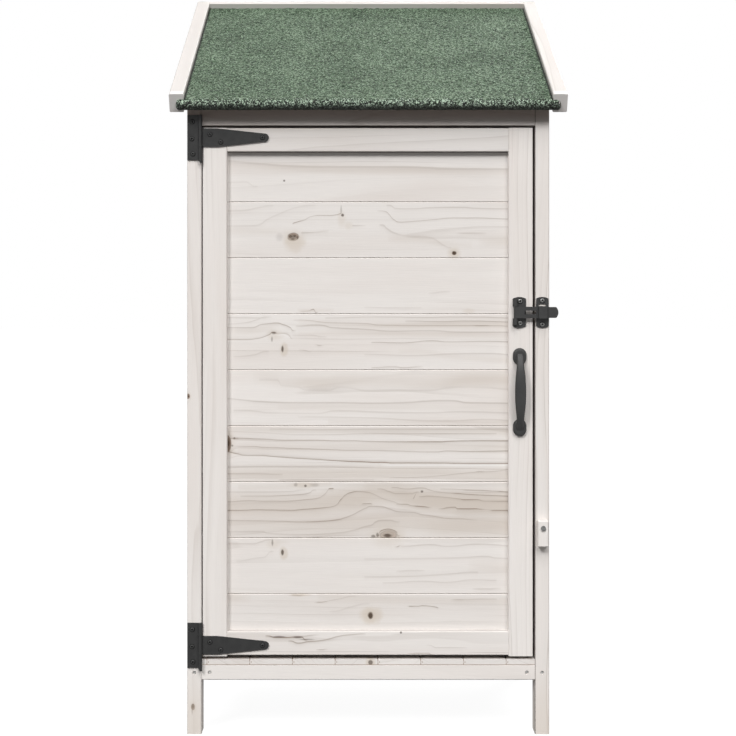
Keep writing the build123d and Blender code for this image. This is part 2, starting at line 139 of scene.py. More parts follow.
def feed(socket, value):
    """Links a field or socket into an input, or sets the input to a number or a colour."""
    if isinstance(value, Field):
        value = value.socket
    if isinstance(value, bpy.types.NodeSocket):
        socket.id_data.links.new(value, socket)
    else:
        socket.default_value = (*value, 1.0) if isinstance(value, tuple) else value


def add(tree, kind, inputs=(), **settings):
    """A new shader node with its settings. Inputs go by their order, or in a dict by name or number."""
    node = tree.nodes.new("ShaderNode" + kind)
    for name, value in settings.items():
        setattr(node, name, value)
    for key, value in inputs.items() if isinstance(inputs, dict) else enumerate(inputs):
        feed(node.inputs[key], value)
    return node


def parts(socket, kind="Color"):
    """The three parts of a colour or a vector."""
    return [Field(part) for part in add(socket.id_data, "Separate" + kind, (socket,)).outputs]


def combined(fields, operation="MAXIMUM"):
    """The largest of some fields, or with ADD their sum, or 0 when there are none."""
    fields = list(fields)
    return reduce(lambda first, second: first.calc(operation, second), fields) if fields else 0.0


def root_of_squares(u, v):
    return (u * u + v * v).calc("SQRT")


def point_of(place):
    return add(place[0].tree, "CombineXYZ", place).outputs[0]


def noise(place, scale=1.0, detail=1.0, roughness=0.5):
    """A smooth random field about 0.5 at a place of three fields."""
    inputs = {"Vector": point_of(place), "Scale": scale, "Detail": detail, "Roughness": roughness}
    return Field(add(place[0].tree, "TexNoise", inputs).outputs[0])


def cells(place, scale=1.0, randomness=1.0, **settings):
    """A node of random cells at a place of three fields."""
    inputs = {"Vector": point_of(place), "Scale": scale, "Randomness": randomness}
    return add(place[0].tree, "TexVoronoi", inputs, **settings)


def dice(value):
    """Three random values that stay the same for one number."""
    return parts(add(value.tree, "TexWhiteNoise", {"W": value}, noise_dimensions="1D").outputs["Color"])


def blend(factor, first, second):
    """The first colour at factor 0, the second at factor 1."""
    inputs = {0: factor, 6: first, 7: second}
    return add(factor.tree, "Mix", inputs, data_type="RGBA", clamp_factor=True).outputs[2]


def fresh_tree(owner):
    """The emptied node tree of a material or a world."""
    owner.use_nodes = True
    owner.node_tree.nodes.clear()
    return owner.node_tree


def new_material(name, look, specular, metallic=0.0):
    """A principled material. look turns the place in the frame, as three fields, into the colour, the
    roughness, and the relief's height, depth and strength."""
    material = bpy.data.materials.new(name)
    tree = fresh_tree(material)
    place = parts(add(tree, "TexCoord").outputs["Object"], "XYZ")
    colour, rough, height, depth, strength = look(place)
    relief = add(tree, "Bump", {"Height": height, "Distance": depth, "Strength": strength})
    shader = add(tree, "BsdfPrincipled", {
        "Base Color": colour, "Metallic": metallic, "Roughness": rough,
        "Specular IOR Level": specular, "Normal": relief.outputs[0],
    })
    add(tree, "OutputMaterial", (shader.outputs[0],))
    return material


def dress(node, material):
    """Gives a node of the CAD one material."""
    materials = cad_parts[node].data.materials
    materials.clear()
    materials.append(material)


def make_group(name, inputs, outputs, build):
    """A node group of plain numbers, with a colour where an output is named Color."""
    tree = bpy.data.node_groups.new(name, "ShaderNodeTree")
    for item in inputs:
        tree.interface.new_socket(item, in_out="INPUT", socket_type="NodeSocketFloat")
    for item in outputs:
        kind = "NodeSocketColor" if item == "Color" else "NodeSocketFloat"
        tree.interface.new_socket(item, in_out="OUTPUT", socket_type=kind)
    source = tree.nodes.new("NodeGroupInput")
    sink = tree.nodes.new("NodeGroupOutput")
    made = build(*[Field(source.outputs[item]) for item in inputs])
    for item, value in zip(outputs, made):
        feed(sink.inputs[item], value)
    return tree


def use_group(group, *values):
    """Puts a group in the tree of its first value and returns its outputs as fields."""
    return [Field(output) for output in add(values[0].tree, "Group", values, node_tree=group).outputs]


# A knot, in shares of its radius: its wobble, its face's edge, its rim, its rings and its heart
KNOT_WOBBLE = 0.7
KNOT_PUSH_FADE = 0.05
KNOT_FACE = (1.06, 0.86)
KNOT_RIM = 0.97
KNOT_RIM_SHARPNESS = 9.0
KNOT_TURNS = 17.0
KNOT_HEART = (0.62, 0.12)
KNOT_HALO_FADE = 1.1


def knot_nodes(along, across, x, y, rx, ry, dark, ripple):
    """A knot: how far it pushes the grain aside, its face, its dark rings and its soft halo."""
    d = root_of_squares((along - x) / rx, (across - y) / ry) + (ripple - 0.5) * KNOT_WOBBLE
    outside = d.calc("MAXIMUM", 1.0)
    bend = (across - y) * -1.0 * (d * d * -KNOT_PUSH_FADE).calc("EXPONENT") / (outside * outside)
    face = d.smooth(*KNOT_FACE)
    rim = (((d - KNOT_RIM) * KNOT_RIM_SHARPNESS).power(2.0) * -1.0).calc("EXPONENT")
    turns = ((d * KNOT_TURNS + ripple * 6.0).calc("SINE") * 0.5 + 0.5) * face * 0.5
    rings = rim * 0.55 + turns + d.smooth(*KNOT_HEART) * face * 0.9
    halo = ((d - 1.0) * KNOT_HALO_FADE).calc("MAXIMUM", 0.0)
    halo = (halo * halo * -1.0).calc("EXPONENT") * face.scaled(-1.0, 1.0)
    return bend, face * dark, rings * dark, halo * dark


# Year rings: how far slow and quick waves push them, in metres, and the parts of a ring that are late wood
# and its dark edge
RING_SWAY = 0.050
RING_WAVE = 0.0024
LATE_WOOD = ((0.35, 0.93), (1.0, 0.95))
RING_EDGE = ((0.84, 0.94), (1.0, 0.965))
SEED_STEP = 3.7


def pine_nodes(along, across, depth, seed, pith_across, pith_depth, spacing, contrast,
               tone, level, bend, face, rings, halo):
    """Whitewashed pine: year rings cut by the face, knots, fibres and thin paint."""
    shift = seed * SEED_STEP
    slow = noise((along * 1.1 + shift, across * 7.0 + shift, depth * 7.0))
    wavy = noise((along * 7.0 + shift, across * 70.0, depth * 70.0 + shift))
    radius = root_of_squares(across + bend - pith_across, depth - pith_depth)
    phase = (radius + (slow - 0.5) * RING_SWAY + (wavy - 0.5) * RING_WAVE) / spacing
    ring = phase.calc("FLOOR")
    part = phase.calc("FRACT")
    luck = dice(ring * 1.37 + seed)
    patch = noise((along * 3.0 + shift, across * 14.0, depth * 14.0 + ring * 0.7))
    late, edge = (part.smooth(*rise) * part.smooth(*fall) for rise, fall in (LATE_WOOD, RING_EDGE))
    soft = late * (luck[0] * 0.75 + 0.10) * patch.smooth(0.30, 0.62)
    sharp = edge * luck[1].power(2.0) * patch.smooth(0.34, 0.58)
    line = (soft * 0.36 + sharp * 0.72) * contrast
    zone = noise((along * 1.7 + shift, across * 16.0, depth * 16.0), detail=2.0)
    fibre = noise((along * 22.0, across * 900.0, depth * 900.0 + shift), detail=2.0)
    worn = noise((along * 9.0, across * 60.0 + shift, depth * 60.0), detail=3.0, roughness=0.6)
    colour = blend(zone.smooth(0.40, 0.72) * tone, WOOD_PALE, WOOD_WARM)
    colour = blend(halo * 0.40, colour, KNOT_BEIGE)
    colour = blend(line, colour, WOOD_LINE)
    colour = blend(face * (worn * 0.5 + 0.62), colour, KNOT_BROWN)
    colour = blend(rings * (worn * 0.8 + 0.55), colour, KNOT_DARK)
    light = ((fibre - 0.5) * 0.10 + (worn - 0.5) * 0.05 + 1.0) * level
    colour = add(light.tree, "VectorMath", {0: colour, "Scale": light}, operation="SCALE").outputs[0]
    height = (fibre * 0.30 + worn * 0.12) - line * 0.5 - rings * 0.3
    return colour, height, (worn - 0.5) * 0.22 + line * 0.2 + 0.60


KNOT_MARKS = ["Bend", "Face", "Rings", "Halo"]
KNOT_GROUP = make_group(
    "knot", ["Along", "Across", "X", "Y", "Rx", "Ry", "Dark", "Ripple"], KNOT_MARKS, knot_nodes)
PINE_GROUP = make_group(
    "pine",
    ["Along", "Across", "Depth", "Seed", "PithAcross", "PithDepth", "Spacing", "Contrast", "Tone", "Level",
     *KNOT_MARKS],
    ["Color", "Height", "Rough"],
    pine_nodes,
)

# How a line shows across its width: a grain line is crisp on one side and fades out slowly on the other,
# a band is soft on both. The span says how many widths the profile covers.
LINE_PROFILE = ((0.0, 0.0), (0.18, 0.05), (0.32, 0.16), (0.42, 0.34), (0.465, 0.80), (0.50, 1.0),
                (0.525, 0.86), (0.555, 0.16), (0.60, 0.04), (0.68, 0.0), (1.0, 0.0))
LINE_SPAN = 12.0
BAND_PROFILE = ((0.0, 0.0), (0.13, 0.03), (0.25, 0.22), (0.38, 0.74), (0.50, 1.0), (0.62, 0.74),
                (0.75, 0.22), (0.87, 0.03), (1.0, 0.0))
BAND_SPAN = 4.0
PANEL_SIDE = 264.0
END_FADE = 5.0


def curve_of(value, points):
    """A smooth curve through points (place from 0 to 1, height from 0 to 1)."""
    node = add(value.tree, "FloatCurve", {"Value": value})
    node.mapping.extend = "HORIZONTAL"
    curve = node.mapping.curves[0]
    curve.points[0].location = points[0]
    curve.points[1].location = points[-1]
    for point in points[1:-1]:
        curve.points.new(*point)
    for point in curve.points:
        point.handle_type = "AUTO_CLAMPED"
    node.mapping.update()
    return Field(node.outputs[0])


def drawn_line(name, width, numbers, profile, span):
    """A group that says how strongly a line shows that runs along the grain.

    Each of its points has a step along and a step across from the one before it, in millimetres, and a
    percent. A line that stops short of the panel's side fades out there.
    """
    points = list(zip(accumulate(numbers[0::3]), accumulate(numbers[1::3]), numbers[2::3]))
    first, last = points[0], points[-1]
    if first[0] > -PANEL_SIDE:
        points.insert(0, (first[0] - END_FADE, first[1], 0))
    if last[0] < PANEL_SIDE:
        points.append((last[0] + END_FADE, last[1], 0))
    places, heights, levels = zip(*points)
    low, rise = min(heights), max(heights) - min(heights) + 1.0
    start, length = places[0] * MM, (places[-1] - places[0]) * MM
    shares = [(place * MM - start) / length for place in places]

    def line_nodes(along, across):
        share = along.scaled(1.0 / length, -start / length)
        middle = curve_of(share, [(s, (h - low) / rise) for s, h in zip(shares, heights)])
        off = across - middle.scaled(rise * MM, low * MM)
        shows = curve_of(off.scaled(1.0 / (span * width * MM), 0.5), profile)
        return [shows * curve_of(share, [(s, level / 100) for s, level in zip(shares, levels)])]

    return make_group(name, ["Along", "Across"], ["Shows"], line_nodes)


def drawn(along, across, name, rows, profile, span):
    """The strongest of some lines. A row is a line's width and the numbers of its points."""
    return combined(
        use_group(drawn_line(f"{name}_{number}", width, numbers, profile, span), along, across)[0]
        for number, (width, *numbers) in enumerate(rows)
    )


def spot(along, across, x, y, rx, ry, dark, edge, ripple):
    """A soft ellipse: 1 in its middle and 0 outside, over the share of its radius that edge gives."""
    d = root_of_squares(along.scaled(1 / (rx * MM), -x / rx), across.scaled(1 / (ry * MM), -y / ry))
    return (d + (ripple - 0.5) * SPOT_WOBBLE).smooth(1.0 + edge / 2, 1.0 - edge / 2) * dark


def project(axes, direction):
    """The distance along a direction."""
    shares = [axis if share == 1 else axis * share for axis, share in zip(axes, direction) if share]
    return combined(shares, "ADD")


def table(index, rows):
    """Reads the three numbers that belong to a board's index."""
    ramp = add(index.tree, "ValToRGB", ((index + 0.5) / len(rows),))
    ramp.color_ramp.interpolation = "CONSTANT"
    stops = ramp.color_ramp.elements
    for number, row in enumerate(rows):
        stop = stops[number] if number < 2 else stops.new(number / len(rows))
        stop.position = number / len(rows)
        stop.color = (*row, 1.0)
    return parts(ramp.outputs[0])


def from_joint(across, boards):
    """How far the nearest joint between boards is, with its sign."""
    first, pitch = boards
    return (((across - first) / pitch + 0.5).calc("FRACT") - 0.5) * pitch


# Directions along the grain, across it and into the wood
GRAIN_X = ((1, 0, 0), (0, 0, 1), (0, 1, 0))
GRAIN_Z = ((0, 0, 1), (1, 0, 0), (0, 1, 0))
GRAIN_Y = ((0, 1, 0), (0, 0, 1), (1, 0, 0))
GRAIN_FLOOR = ((0, 1, 0), (1, 0, 0), (0, 0, 1))
GRAIN_SLOPE = ((0, SLOPE_COS, SLOPE_SIN), (1, 0, 0), (0, -SLOPE_SIN, SLOPE_COS))
GRAIN_ROOF = ((1, 0, 0), (0, SLOPE_COS, SLOPE_SIN), (0, -SLOPE_SIN, SLOPE_COS))

RING_SPACING = 7.0 * MM
RIPPLE_SCALE = 60.0
SPOT_WOBBLE = 0.8
LINE_SHAKE = 0.6 * MM
SEAM_EDGE = (1.1 * MM, 0.3 * MM)
WOOD_RELIEF = 0.6 * MM
# Random knots: a cell's length along the grain, each board's shift, the share of cells without one, and
# the smallest radius and what chance adds to it along and across the grain
KNOT_CELL = 0.46
KNOT_SHIFT = 0.37
KNOT_LACK = 0.45
KNOT_LEAST = 0.003
KNOT_MORE = (0.010, 0.007)


def board_figure(index, seed, rows, contrast, tone, level):
    """Each board's seed, pith place and depth, ring spacing, contrast, warmth and lightness."""
    key = index + seed * 10.0
    if rows:
        one = table(index, [row[:3] for row in rows])
        two = table(index, [row[3:] for row in rows])
        return (key, (one[0] - 0.5) * 0.2, one[1] * 0.15, one[2] * 0.02,
                two[0] * 2.0, two[1] * 2.0, two[2].scaled(0.1, 0.9))
    luck = dice(key)
    more = dice(key + 77.0)
    return (key, (luck[0] - 0.5) * 0.16, luck[1] * 0.09 + 0.012, luck[2] * 0.006 + RING_SPACING * 0.6,
            (more[0] * 0.9 + 0.35) * contrast, more[1] * 1.2 * tone, more[2].scaled(0.06 * level, 0.94 * level))


def placed_knots(along, across, knots, index, ripple):
    """Knots at given places: what they push aside, and the strongest of their faces, rings and halos."""
    found = []
    for *lengths, dark, board in knots:
        marks = use_group(KNOT_GROUP, along, across, *[n * MM for n in lengths], dark, ripple)
        if board is not None:
            here = index.calc("COMPARE", float(board), 0.5)
            marks = [mark * here for mark in marks]
        found.append(marks)
    bends, *others = zip(*found) if found else [()] * 4
    return [combined(bends, "ADD"), *map(combined, others)]


def scattered_knots(along, across, boards, index, ripple):
    """Random knots on boards, one or two to a metre."""
    first, pitch = boards
    place = (along / KNOT_CELL + index * KNOT_SHIFT, (across - first) / pitch, 0.0)
    node = cells(place, randomness=0.85, voronoi_dimensions="2D")
    u, v, _ = parts(node.outputs["Position"], "XYZ")
    size, share, _ = parts(node.outputs["Color"])
    x, y = (u - index * KNOT_SHIFT) * KNOT_CELL, v * pitch + first
    rx, ry = (size * more + KNOT_LEAST for more in KNOT_MORE)
    here = share.calc("GREATER_THAN", KNOT_LACK)
    bend, *others = use_group(KNOT_GROUP, along, across, x, y, rx, ry, here * 0.9, ripple)
    return [bend * here, *others]


def pine(node, grain, seed, contrast=0.5, tone=0.7, pith=(0, 60), level=1.0, boards=None, rows=None,
         knots=(), beige=(), brown=(), lines=(), bands=(), glints=(), seam=0.0, scatter=False, extras=()):
    """Whitewashed pine for one node.

    boards is (a joint's place, pitch) across the grain, and rows gives each board's own figure. The pith,
    knots, beige and brown spots, lines, bands and glints, which are painted highlights, are given in
    millimetres. Each of the extras adds marks of the node's own, such as stains, painted shade and painted
    highlights.
    """
    low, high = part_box(node)
    middle = (low + high) / 2

    def look(axes):
        along, across, depth = (project(axes, direction) for direction in grain)
        depth = depth - middle.dot(Vector(grain[2]))
        if boards:
            first, pitch = boards
            index = ((across - first) / pitch).calc("FLOOR")
            local = across - first - (index + 0.5) * pitch
            figure = board_figure(index, seed, rows, contrast, tone, level)
        else:
            index = None
            local = across - middle.dot(Vector(grain[1]))
            figure = (seed * 10.0, pith[0] * MM, pith[1] * MM, RING_SPACING, contrast, tone, level)
        ripple = noise([axis * RIPPLE_SCALE for axis in (along, across, depth)], detail=2.0)
        if scatter:
            marks = scattered_knots(along, across, boards, index, ripple)
        else:
            marks = placed_knots(along, across, knots, index, ripple)
        colour, height, rough = use_group(PINE_GROUP, along, local, depth, *figure, *marks)
        shake = (ripple - 0.5) * LINE_SHAKE
        place = (along + shake, across + shake)

        def dab(spots, shade):
            return blend(combined(spot(*place, *mark, ripple) for mark in spots), colour, shade)

        if beige:
            colour = dab(beige, KNOT_BEIGE)
        for label, drawn_rows, shade, share, profile, span in (
            ("band", bands, WOOD_SMOKE, 0.9, BAND_PROFILE, BAND_SPAN),
            ("glint", glints, WOOD_GLINT, 0.8, LINE_PROFILE, LINE_SPAN),
            ("line", lines, WOOD_LINE, 1.35, LINE_PROFILE, LINE_SPAN),
        ):
            if drawn_rows:
                shows = drawn(*place, f"{label}_{node}", drawn_rows, profile, span)
                colour = blend(shows * share, colour, shade)
        if brown:
            colour = dab(brown, KNOT_DARK)
        if seam:
            dirt_and_painted_shade = from_joint(across, boards).calc("ABSOLUTE").smooth(*SEAM_EDGE) * seam
            colour = blend(dirt_and_painted_shade, colour, WOOD_LINE)
        for extra in extras:
            colour = extra(axes, colour)
        return colour, rough, height, WOOD_RELIEF, 1.0

    dress(node, new_material("pine_" + node, look, specular=0.3))


# Panel of the door: a joint's place and the boards' pitch, and each board's pith place, pith depth, ring
# spacing, contrast, warmth and lightness, as shares
PANEL_BOARDS = (162.8 * MM, 110.3 * MM)
PANEL_ROWS = (
    (0.3, 0.3, 0.45, 0.2, 0.2, 0.5), (0.7, 0.5, 0.5, 0.16, 0.14, 0.84),
    (0.45, 0.3, 0.42, 0.5, 0.36, 0.72), (0.85, 0.6, 0.36, 0.36, 0.28, 0.84),
    (0.6, 0.6, 0.55, 0.12, 0.3, 1.06), (0.2, 0.45, 0.42, 0.16, 0.22, 0.94),
    (0.8, 0.6, 0.6, 0.16, 0.14, 0.88), (0.5, 0.25, 0.5, 0.13, 0.26, 0.66),
    (0.15, 0.5, 0.6, 0.2, 0.3, 0.7),
)
# Knots of the panel in millimetres: place, radii, darkness and board
PANEL_KNOTS = (
    (-147.2, 977, 11, 8, 1, 7), (169.5, 944.6, 4.4, 4, 1, 7),
    (-277.2, 570.4, 7, 15, 1, 3), (39.1, 389.4, 17, 9, 0.75, 2),
    (4.8, 230.8, 6, 6.8, 1, 0),
)
# Soft beige marks: place, radii, strength and the width of the edge as a share of the radius
PANEL_BEIGE = (
    (-184, 783, 13, 9, 0.4, 1.4), (-187, 371, 12, 8, 0.35, 1.4),
    (-52, 1012, 7, 14, 0.35, 1.4), (-146, 964, 18, 16, 0.6, 1),
    (-38.8, 998.8, 8, 7, 0.35, 1.4), (169.5, 944, 11, 10, 0.5, 1.2),
    (-166.1, 754.2, 8, 13, 0.6, 0.7), (39.1, 388, 30, 22, 0.32, 1.2),
    (-167.1, 353.3, 8, 13, 0.6, 0.7), (4.8, 230.8, 21, 16, 0.6, 0.8),
    (-126, 488, 24, 5, 0.5, 1.2), (197.7, 830.6, 10, 5, 0.35, 1.2),
    (-134, 271, 18, 3, 0.6, 1),
)
# Dark marks, in the same order
PANEL_BROWN = (
    (-147.2, 976.5, 9.5, 6, 0.45, 0.8), (-153, 977.5, 3.6, 3.2, 0.8, 0.7),
    (-144.5, 978.5, 3.2, 2.4, 0.8, 0.7), (-148.5, 972.5, 4.2, 2, 0.7, 0.8),
    (-139.5, 975.5, 2, 3.2, 0.75, 0.7), (169.5, 944.6, 3.7, 3.3, 1, 0.6),
    (4.8, 230.8, 4.7, 6.2, 0.95, 0.6), (-277, 571, 4.5, 12, 0.6, 0.9),
    (-165.3, 1087.3, 2.2, 2, 0.75, 0.8), (-174.7, 975.9, 6, 7, 0.16, 1.4),
    (-50.4, 1019.4, 2.8, 2.8, 0.8, 0.7), (-53.2, 1030, 1.6, 7, 0.35, 1.2),
    (-186, 787.2, 4, 2.2, 0.6, 1), (-189.5, 775, 1.8, 5, 0.45, 1.2),
    (-168.8, 756, 2.6, 6.5, 0.85, 0.8), (-263.8, 579.9, 2, 2, 0.6, 0.8),
    (-267.9, 565.5, 2, 2, 0.5, 0.8), (18.4, 389.3, 2.6, 4, 0.6, 0.9),
    (10.1, 386.5, 4, 3, 0.6, 0.9), (38.3, 388.3, 8, 3.6, 0.8, 0.8),
    (-123.7, 486.1, 2.2, 2.2, 0.7, 0.8), (-142.6, 488.2, 3.6, 3.4, 0.35, 1),
    (-105.2, 488, 8, 3.6, 0.25, 1.2), (-188.7, 373.7, 1.8, 6, 0.5, 1),
    (-169, 355, 2.8, 5.8, 0.85, 0.8), (106, 474.8, 2.4, 2.2, 0.7, 0.8),
)
# Grain lines: the width, and for each point a step along, a step across and a percent. A line of a
# negative width is crisp on its other side.
PANEL_LINES = (
    (4, -273,1126,12, 66,-6,18, 90,-5,21, 203,-1,25, 73,-3,26, 117,-1,19),
    (2.9, -272,1084,9, 29,1,9, 22,-9,8),
    (2.9, -271,1028,16, 27,1,16, 27,5,12, 27,4,8),
    (2.9, -271,998,12, 50,1,14, 22,12,12, 31,14,11, 25,9,9, 36,5,8),
    (0.9, -150,1003,0, 3,1,75, 10,3,70, 11,3,40, 14,7,30, 15,2,45, 18,0,50, 14,1,50, 11,3,60, 2,1,0),
    (2.5, -128,985,26, 25,1,18, 22,2,11),
    (1.2, 21,1028,16, 11,-1,30, 9,-6,42, 11,-11,42, 12,-4,40, 22,1,34, 45,4,32, 37,3,36, 45,0,40, 60,-2,36),
    (3.4, 26,1000,17, 11,-7,23, 13,-8,21, 22,-6,13, 50,-4,13, 27,-15,15, 11,-4,13),
    (2.2, 40,1039,18, 14,-6,19, 28,-1,18, 40,2,21, 55,1,26, 36,-2,23, 60,-1,21),
    (2.9, 178,984,9, 23,0,19, 28,0,9),
    (1.8, -28,999,26, 20,0,9),
    (2.5, 122,866,8, 20,2,14, 17,1,8),
    (1.2, -132,830,15, 15,1,25, 9,3,60, 5,-6,50),
    (2.2, -4,838,8, 51,-1,11, 55,0,8),
    (2, -271,818,19, 63,-1,16, 15,2,8),
    (2, -271,805,11, 32,3,17, 18,5,19, 22,6,12),
    (1.6, -271,798,26, 41,0,30, 19,6,34, 18,2,40, 11,1,42, 14,-3,50, 15,-6,46, 7,-6,20),
    (-1.4, -277,774,50, 33,0,44, 24,2,40, 18,5,44, 9,4,60, 5,3,75, 6,-1,60, 6,-1,20, 10,0,30, 12,-6,34,
     4,-4,10),
    (2.5, -262,741,11, 36,3,16, 27,7,14),
    (2.3, -146,783,12, 29,0,17, 32,-3,9),
    (2.3, -139,801,18, 36,2,30, 31,-5,30, 76,-4,26, 46,-3,23, 72,1,21, 55,-3,25, 96,0,25),
    (1, -143,813,20, 26,-1,30, 36,-4,34, 77,-2,34, 27,-3,36, 81,-1,40, 73,0,42, 28,0,45, 13,0,70, 16,0,60,
     14,0,35, 25,-1,36),
    (1.8, -81,817,18, 104,2,19, 89,-1,26, 65,1,26, 96,-2,30),
    (1.2, 77,811,24, 64,-1,40, 54,1,45, 78,-2,42),
    (1.1, 10,769,30, 49,-1,45, 38,2,40, 29,2,50, 32,-2,34, 73,1,42, 42,-1,50),
    (2.2, -4,745,11, 90,-2,16, 72,3,19, 73,1,20, 42,-2,20),
    (2.2, 10,719,21, 40,2,23, 18,-2,26, 36,2,11),
    (1.8, -135,754,8, 11,-1,19, 10,-2,8),
    (1.2, -103,764,10, 6,-1,40, 8,0,10),
    (-3.6, -211,695,9, 32,-1,12, 7,-10,7, 33,-3,9, 18,-6,11, 40,-1,12, 27,6,10, 58,-7,13, 64,1,13, 45,0,13,
     45,5,11, 37,2,9, 78,-5,14),
    (2.5, -271,658,18, 27,-3,21, 36,-3,30, 73,-2,26, 72,0,25, 67,-1,26, 64,1,25, 90,4,25, 37,-4,30, 78,-1,30),
    (2.5, -262,635,12, 42,-2,16, 30,-3,14, 91,-1,12, 36,5,16, 67,-2,19, 118,-2,17, 55,2,16, 96,-2,20),
    (2.5, -135,622,8, 139,-2,14, 154,-6,16, 73,3,16, 42,-2,16),
    (2.5, -190,598,14, 109,-1,18, 85,1,23, 118,0,26, 145,0,26),
    (1.2, -271,594,12, 63,-3,14, 109,-4,20, 103,2,26, 91,0,30, 54,0,42, 28,0,36, 72,0,26),
    (1.2, -265,580,55, 6,0,75, 6,0,45, 27,-1,50, 27,-1,40, 46,-2,50, 54,0,55, 36,-1,45, 27,0,42, 32,-1,45,
     49,-1,55, 50,0,75, 46,0,85, 17,1,75, 62,1,72, 54,0,80),
    (1.1, -260,564,10, 29,0,34, 23,-2,40, 36,-1,40, 19,-1,42, 36,-1,46, 54,-2,42, 27,-1,42, 40,0,34, 46,-1,36,
     81,-2,42, 27,2,42, 37,-1,50, 79,1,70),
    (-1.4, -275,553,70, 18,-4,62, 22,-3,42, 18,0,50, 27,-2,55, 55,-4,60, 36,-2,62, 27,-2,70, 36,-2,85, 28,-1,95,
     21,-1,95, 15,0,90, 22,-1,72, 72,0,70, 79,-1,66, 73,0,74),
    (-2.2, -277,523,26, 98,1,28, 80,0,26, 63,-1,21, 44,-1,9),
    (2.2, -275,510,30, 49,0,26, 54,-1,16),
    (1, 46,502,16, 67,2,24, 28,2,26, 36,4,30, 32,3,34, 11,1,55, 12,0,34, 17,1,32, 25,3,26),
    (1.2, -172,498,24, 38,0,40, 71,0,24, 71,0,20),
    (2.3, -271,474,16, 45,0,19, 73,1,16, 27,3,8),
    (1.4, -248,466,22, 40,0,30, 55,2,36, 27,2,42, 12,3,30, 8,5,20),
    (1.4, -269,455,34, 34,2,36, 27,-1,36, 45,0,38, 40,3,42, 20,2,36, 15,7,30, 9,10,30, 3,3,70, 6,0,70, 3,0,0),
    (1.3, -277,438,70, 24,0,60, 36,1,55, 64,-1,60, 27,2,62, 27,2,60, 27,3,42, 11,5,36, 5,7,80, 4,4,60, 7,7,50,
     11,5,70, 13,2,50, 17,-1,40, 12,-3,30, 11,-5,26, 13,-6,24, 18,-5,24, 18,-5,30),
    (1.5, -277,418,30, 76,-1,34, 38,-1,38, 28,-1,42, 36,1,62, 36,3,60, 16,4,40, 16,6,36, 15,8,34, 13,6,30,
     10,3,30, 10,0,34, 24,-5,36, 23,-6,34, 22,-1,30, 18,-4,32, 27,-4,34, 27,-4,34, 28,-1,30, 27,-2,10),
    (1, -14,450,10, 6,1,60, 12,0,60, 5,-1,10),
    (2.7, -271,396,14, 63,0,18, 9,-3,14, 64,-3,16, 72,3,18, 36,6,19, 18,6,21, 16,4,23, 8,6,26, 13,3,26, 15,0,23,
     16,-3,14),
    (1.1, 50,483,34, 27,-3,36, 27,2,42, 15,-3,36, 14,-4,30, 28,-3,34, 16,-1,70, 45,-3,62, 28,-1,60, 24,-1,80),
    (1.1, 146,480,24, 35,-1,30, 14,-1,55, 36,-1,55, 19,-1,34, 14,-1,60, 10,-1,50),
    (1.8, 21,480,18, 20,-5,32, 18,-4,32, 27,0,26, 11,3,21),
    (1.2, 104,465,34, 14,1,45, 15,-1,36, 25,-2,36, 23,-3,50, 10,-1,75, 23,0,60, 17,-3,34, 19,0,50, 24,0,60),
    (1.3, 59,450,34, 14,0,50, 13,-3,40, 12,-1,80, 14,-1,70, 10,-1,20),
    (1.5, 142,441,20, 13,2,50, 14,1,55, 8,-3,70, 18,0,85, 14,0,80, 13,-1,50, 14,-1,20, 10,-1,60, 28,0,70),
    (1, 88,461,10, 2,2,80, 3,6,50, 3,4,20),
    (1.3, 20,388,50, 2,6,70, 4,4,75, 6,2,70, 7,1,70, 7,-1,70, 6,-2,75, 5,-4,70, 2,-6,50),
    (2.2, -271,372,20, 41,0,19, 19,4,20, 18,4,16),
    (2.3, -257,338,8, 31,5,12, 22,3,12, 14,11,11),
    (2.3, 68,367,16, 54,3,22, 36,-3,17, 55,4,20, 61,-3,19),
    (1.2, 55,366,20, 4,1,50, 4,1,20),
    (2.3, -4,342,11, 108,1,12, 91,2,16, 36,2,19, 18,-3,17, 25,-1,16),
    (2.5, -4,307,11, 90,1,16, 72,4,17, 55,4,16),
    (2.5, 32,295,11, 81,3,16, 36,-2,16, 64,5,14, 36,-1,16),
    (2.3, 59,318,11, 23,1,16, 26,0,9),
    (2.5, 209,283,9, 25,0,20, 24,1,8),
    (1, -154,271,10, 10,0,55, 10,0,50, 8,1,10),
    (0.9, -102,257,30, 5,0,60, 12,1,50, 9,2,22, 22,4,22, 27,5,16),
    (2.9, -72,239,8, 36,8,12, 36,7,8),
    (0.9, 79,249,20, 4,0,75, 14,0,60, 11,1,62, 14,-1,60, 13,-2,75, 4,-1,10),
    (2.3, 166,262,11, 13,0,26, 16,0,18, 25,1,18, 30,0,14),
)
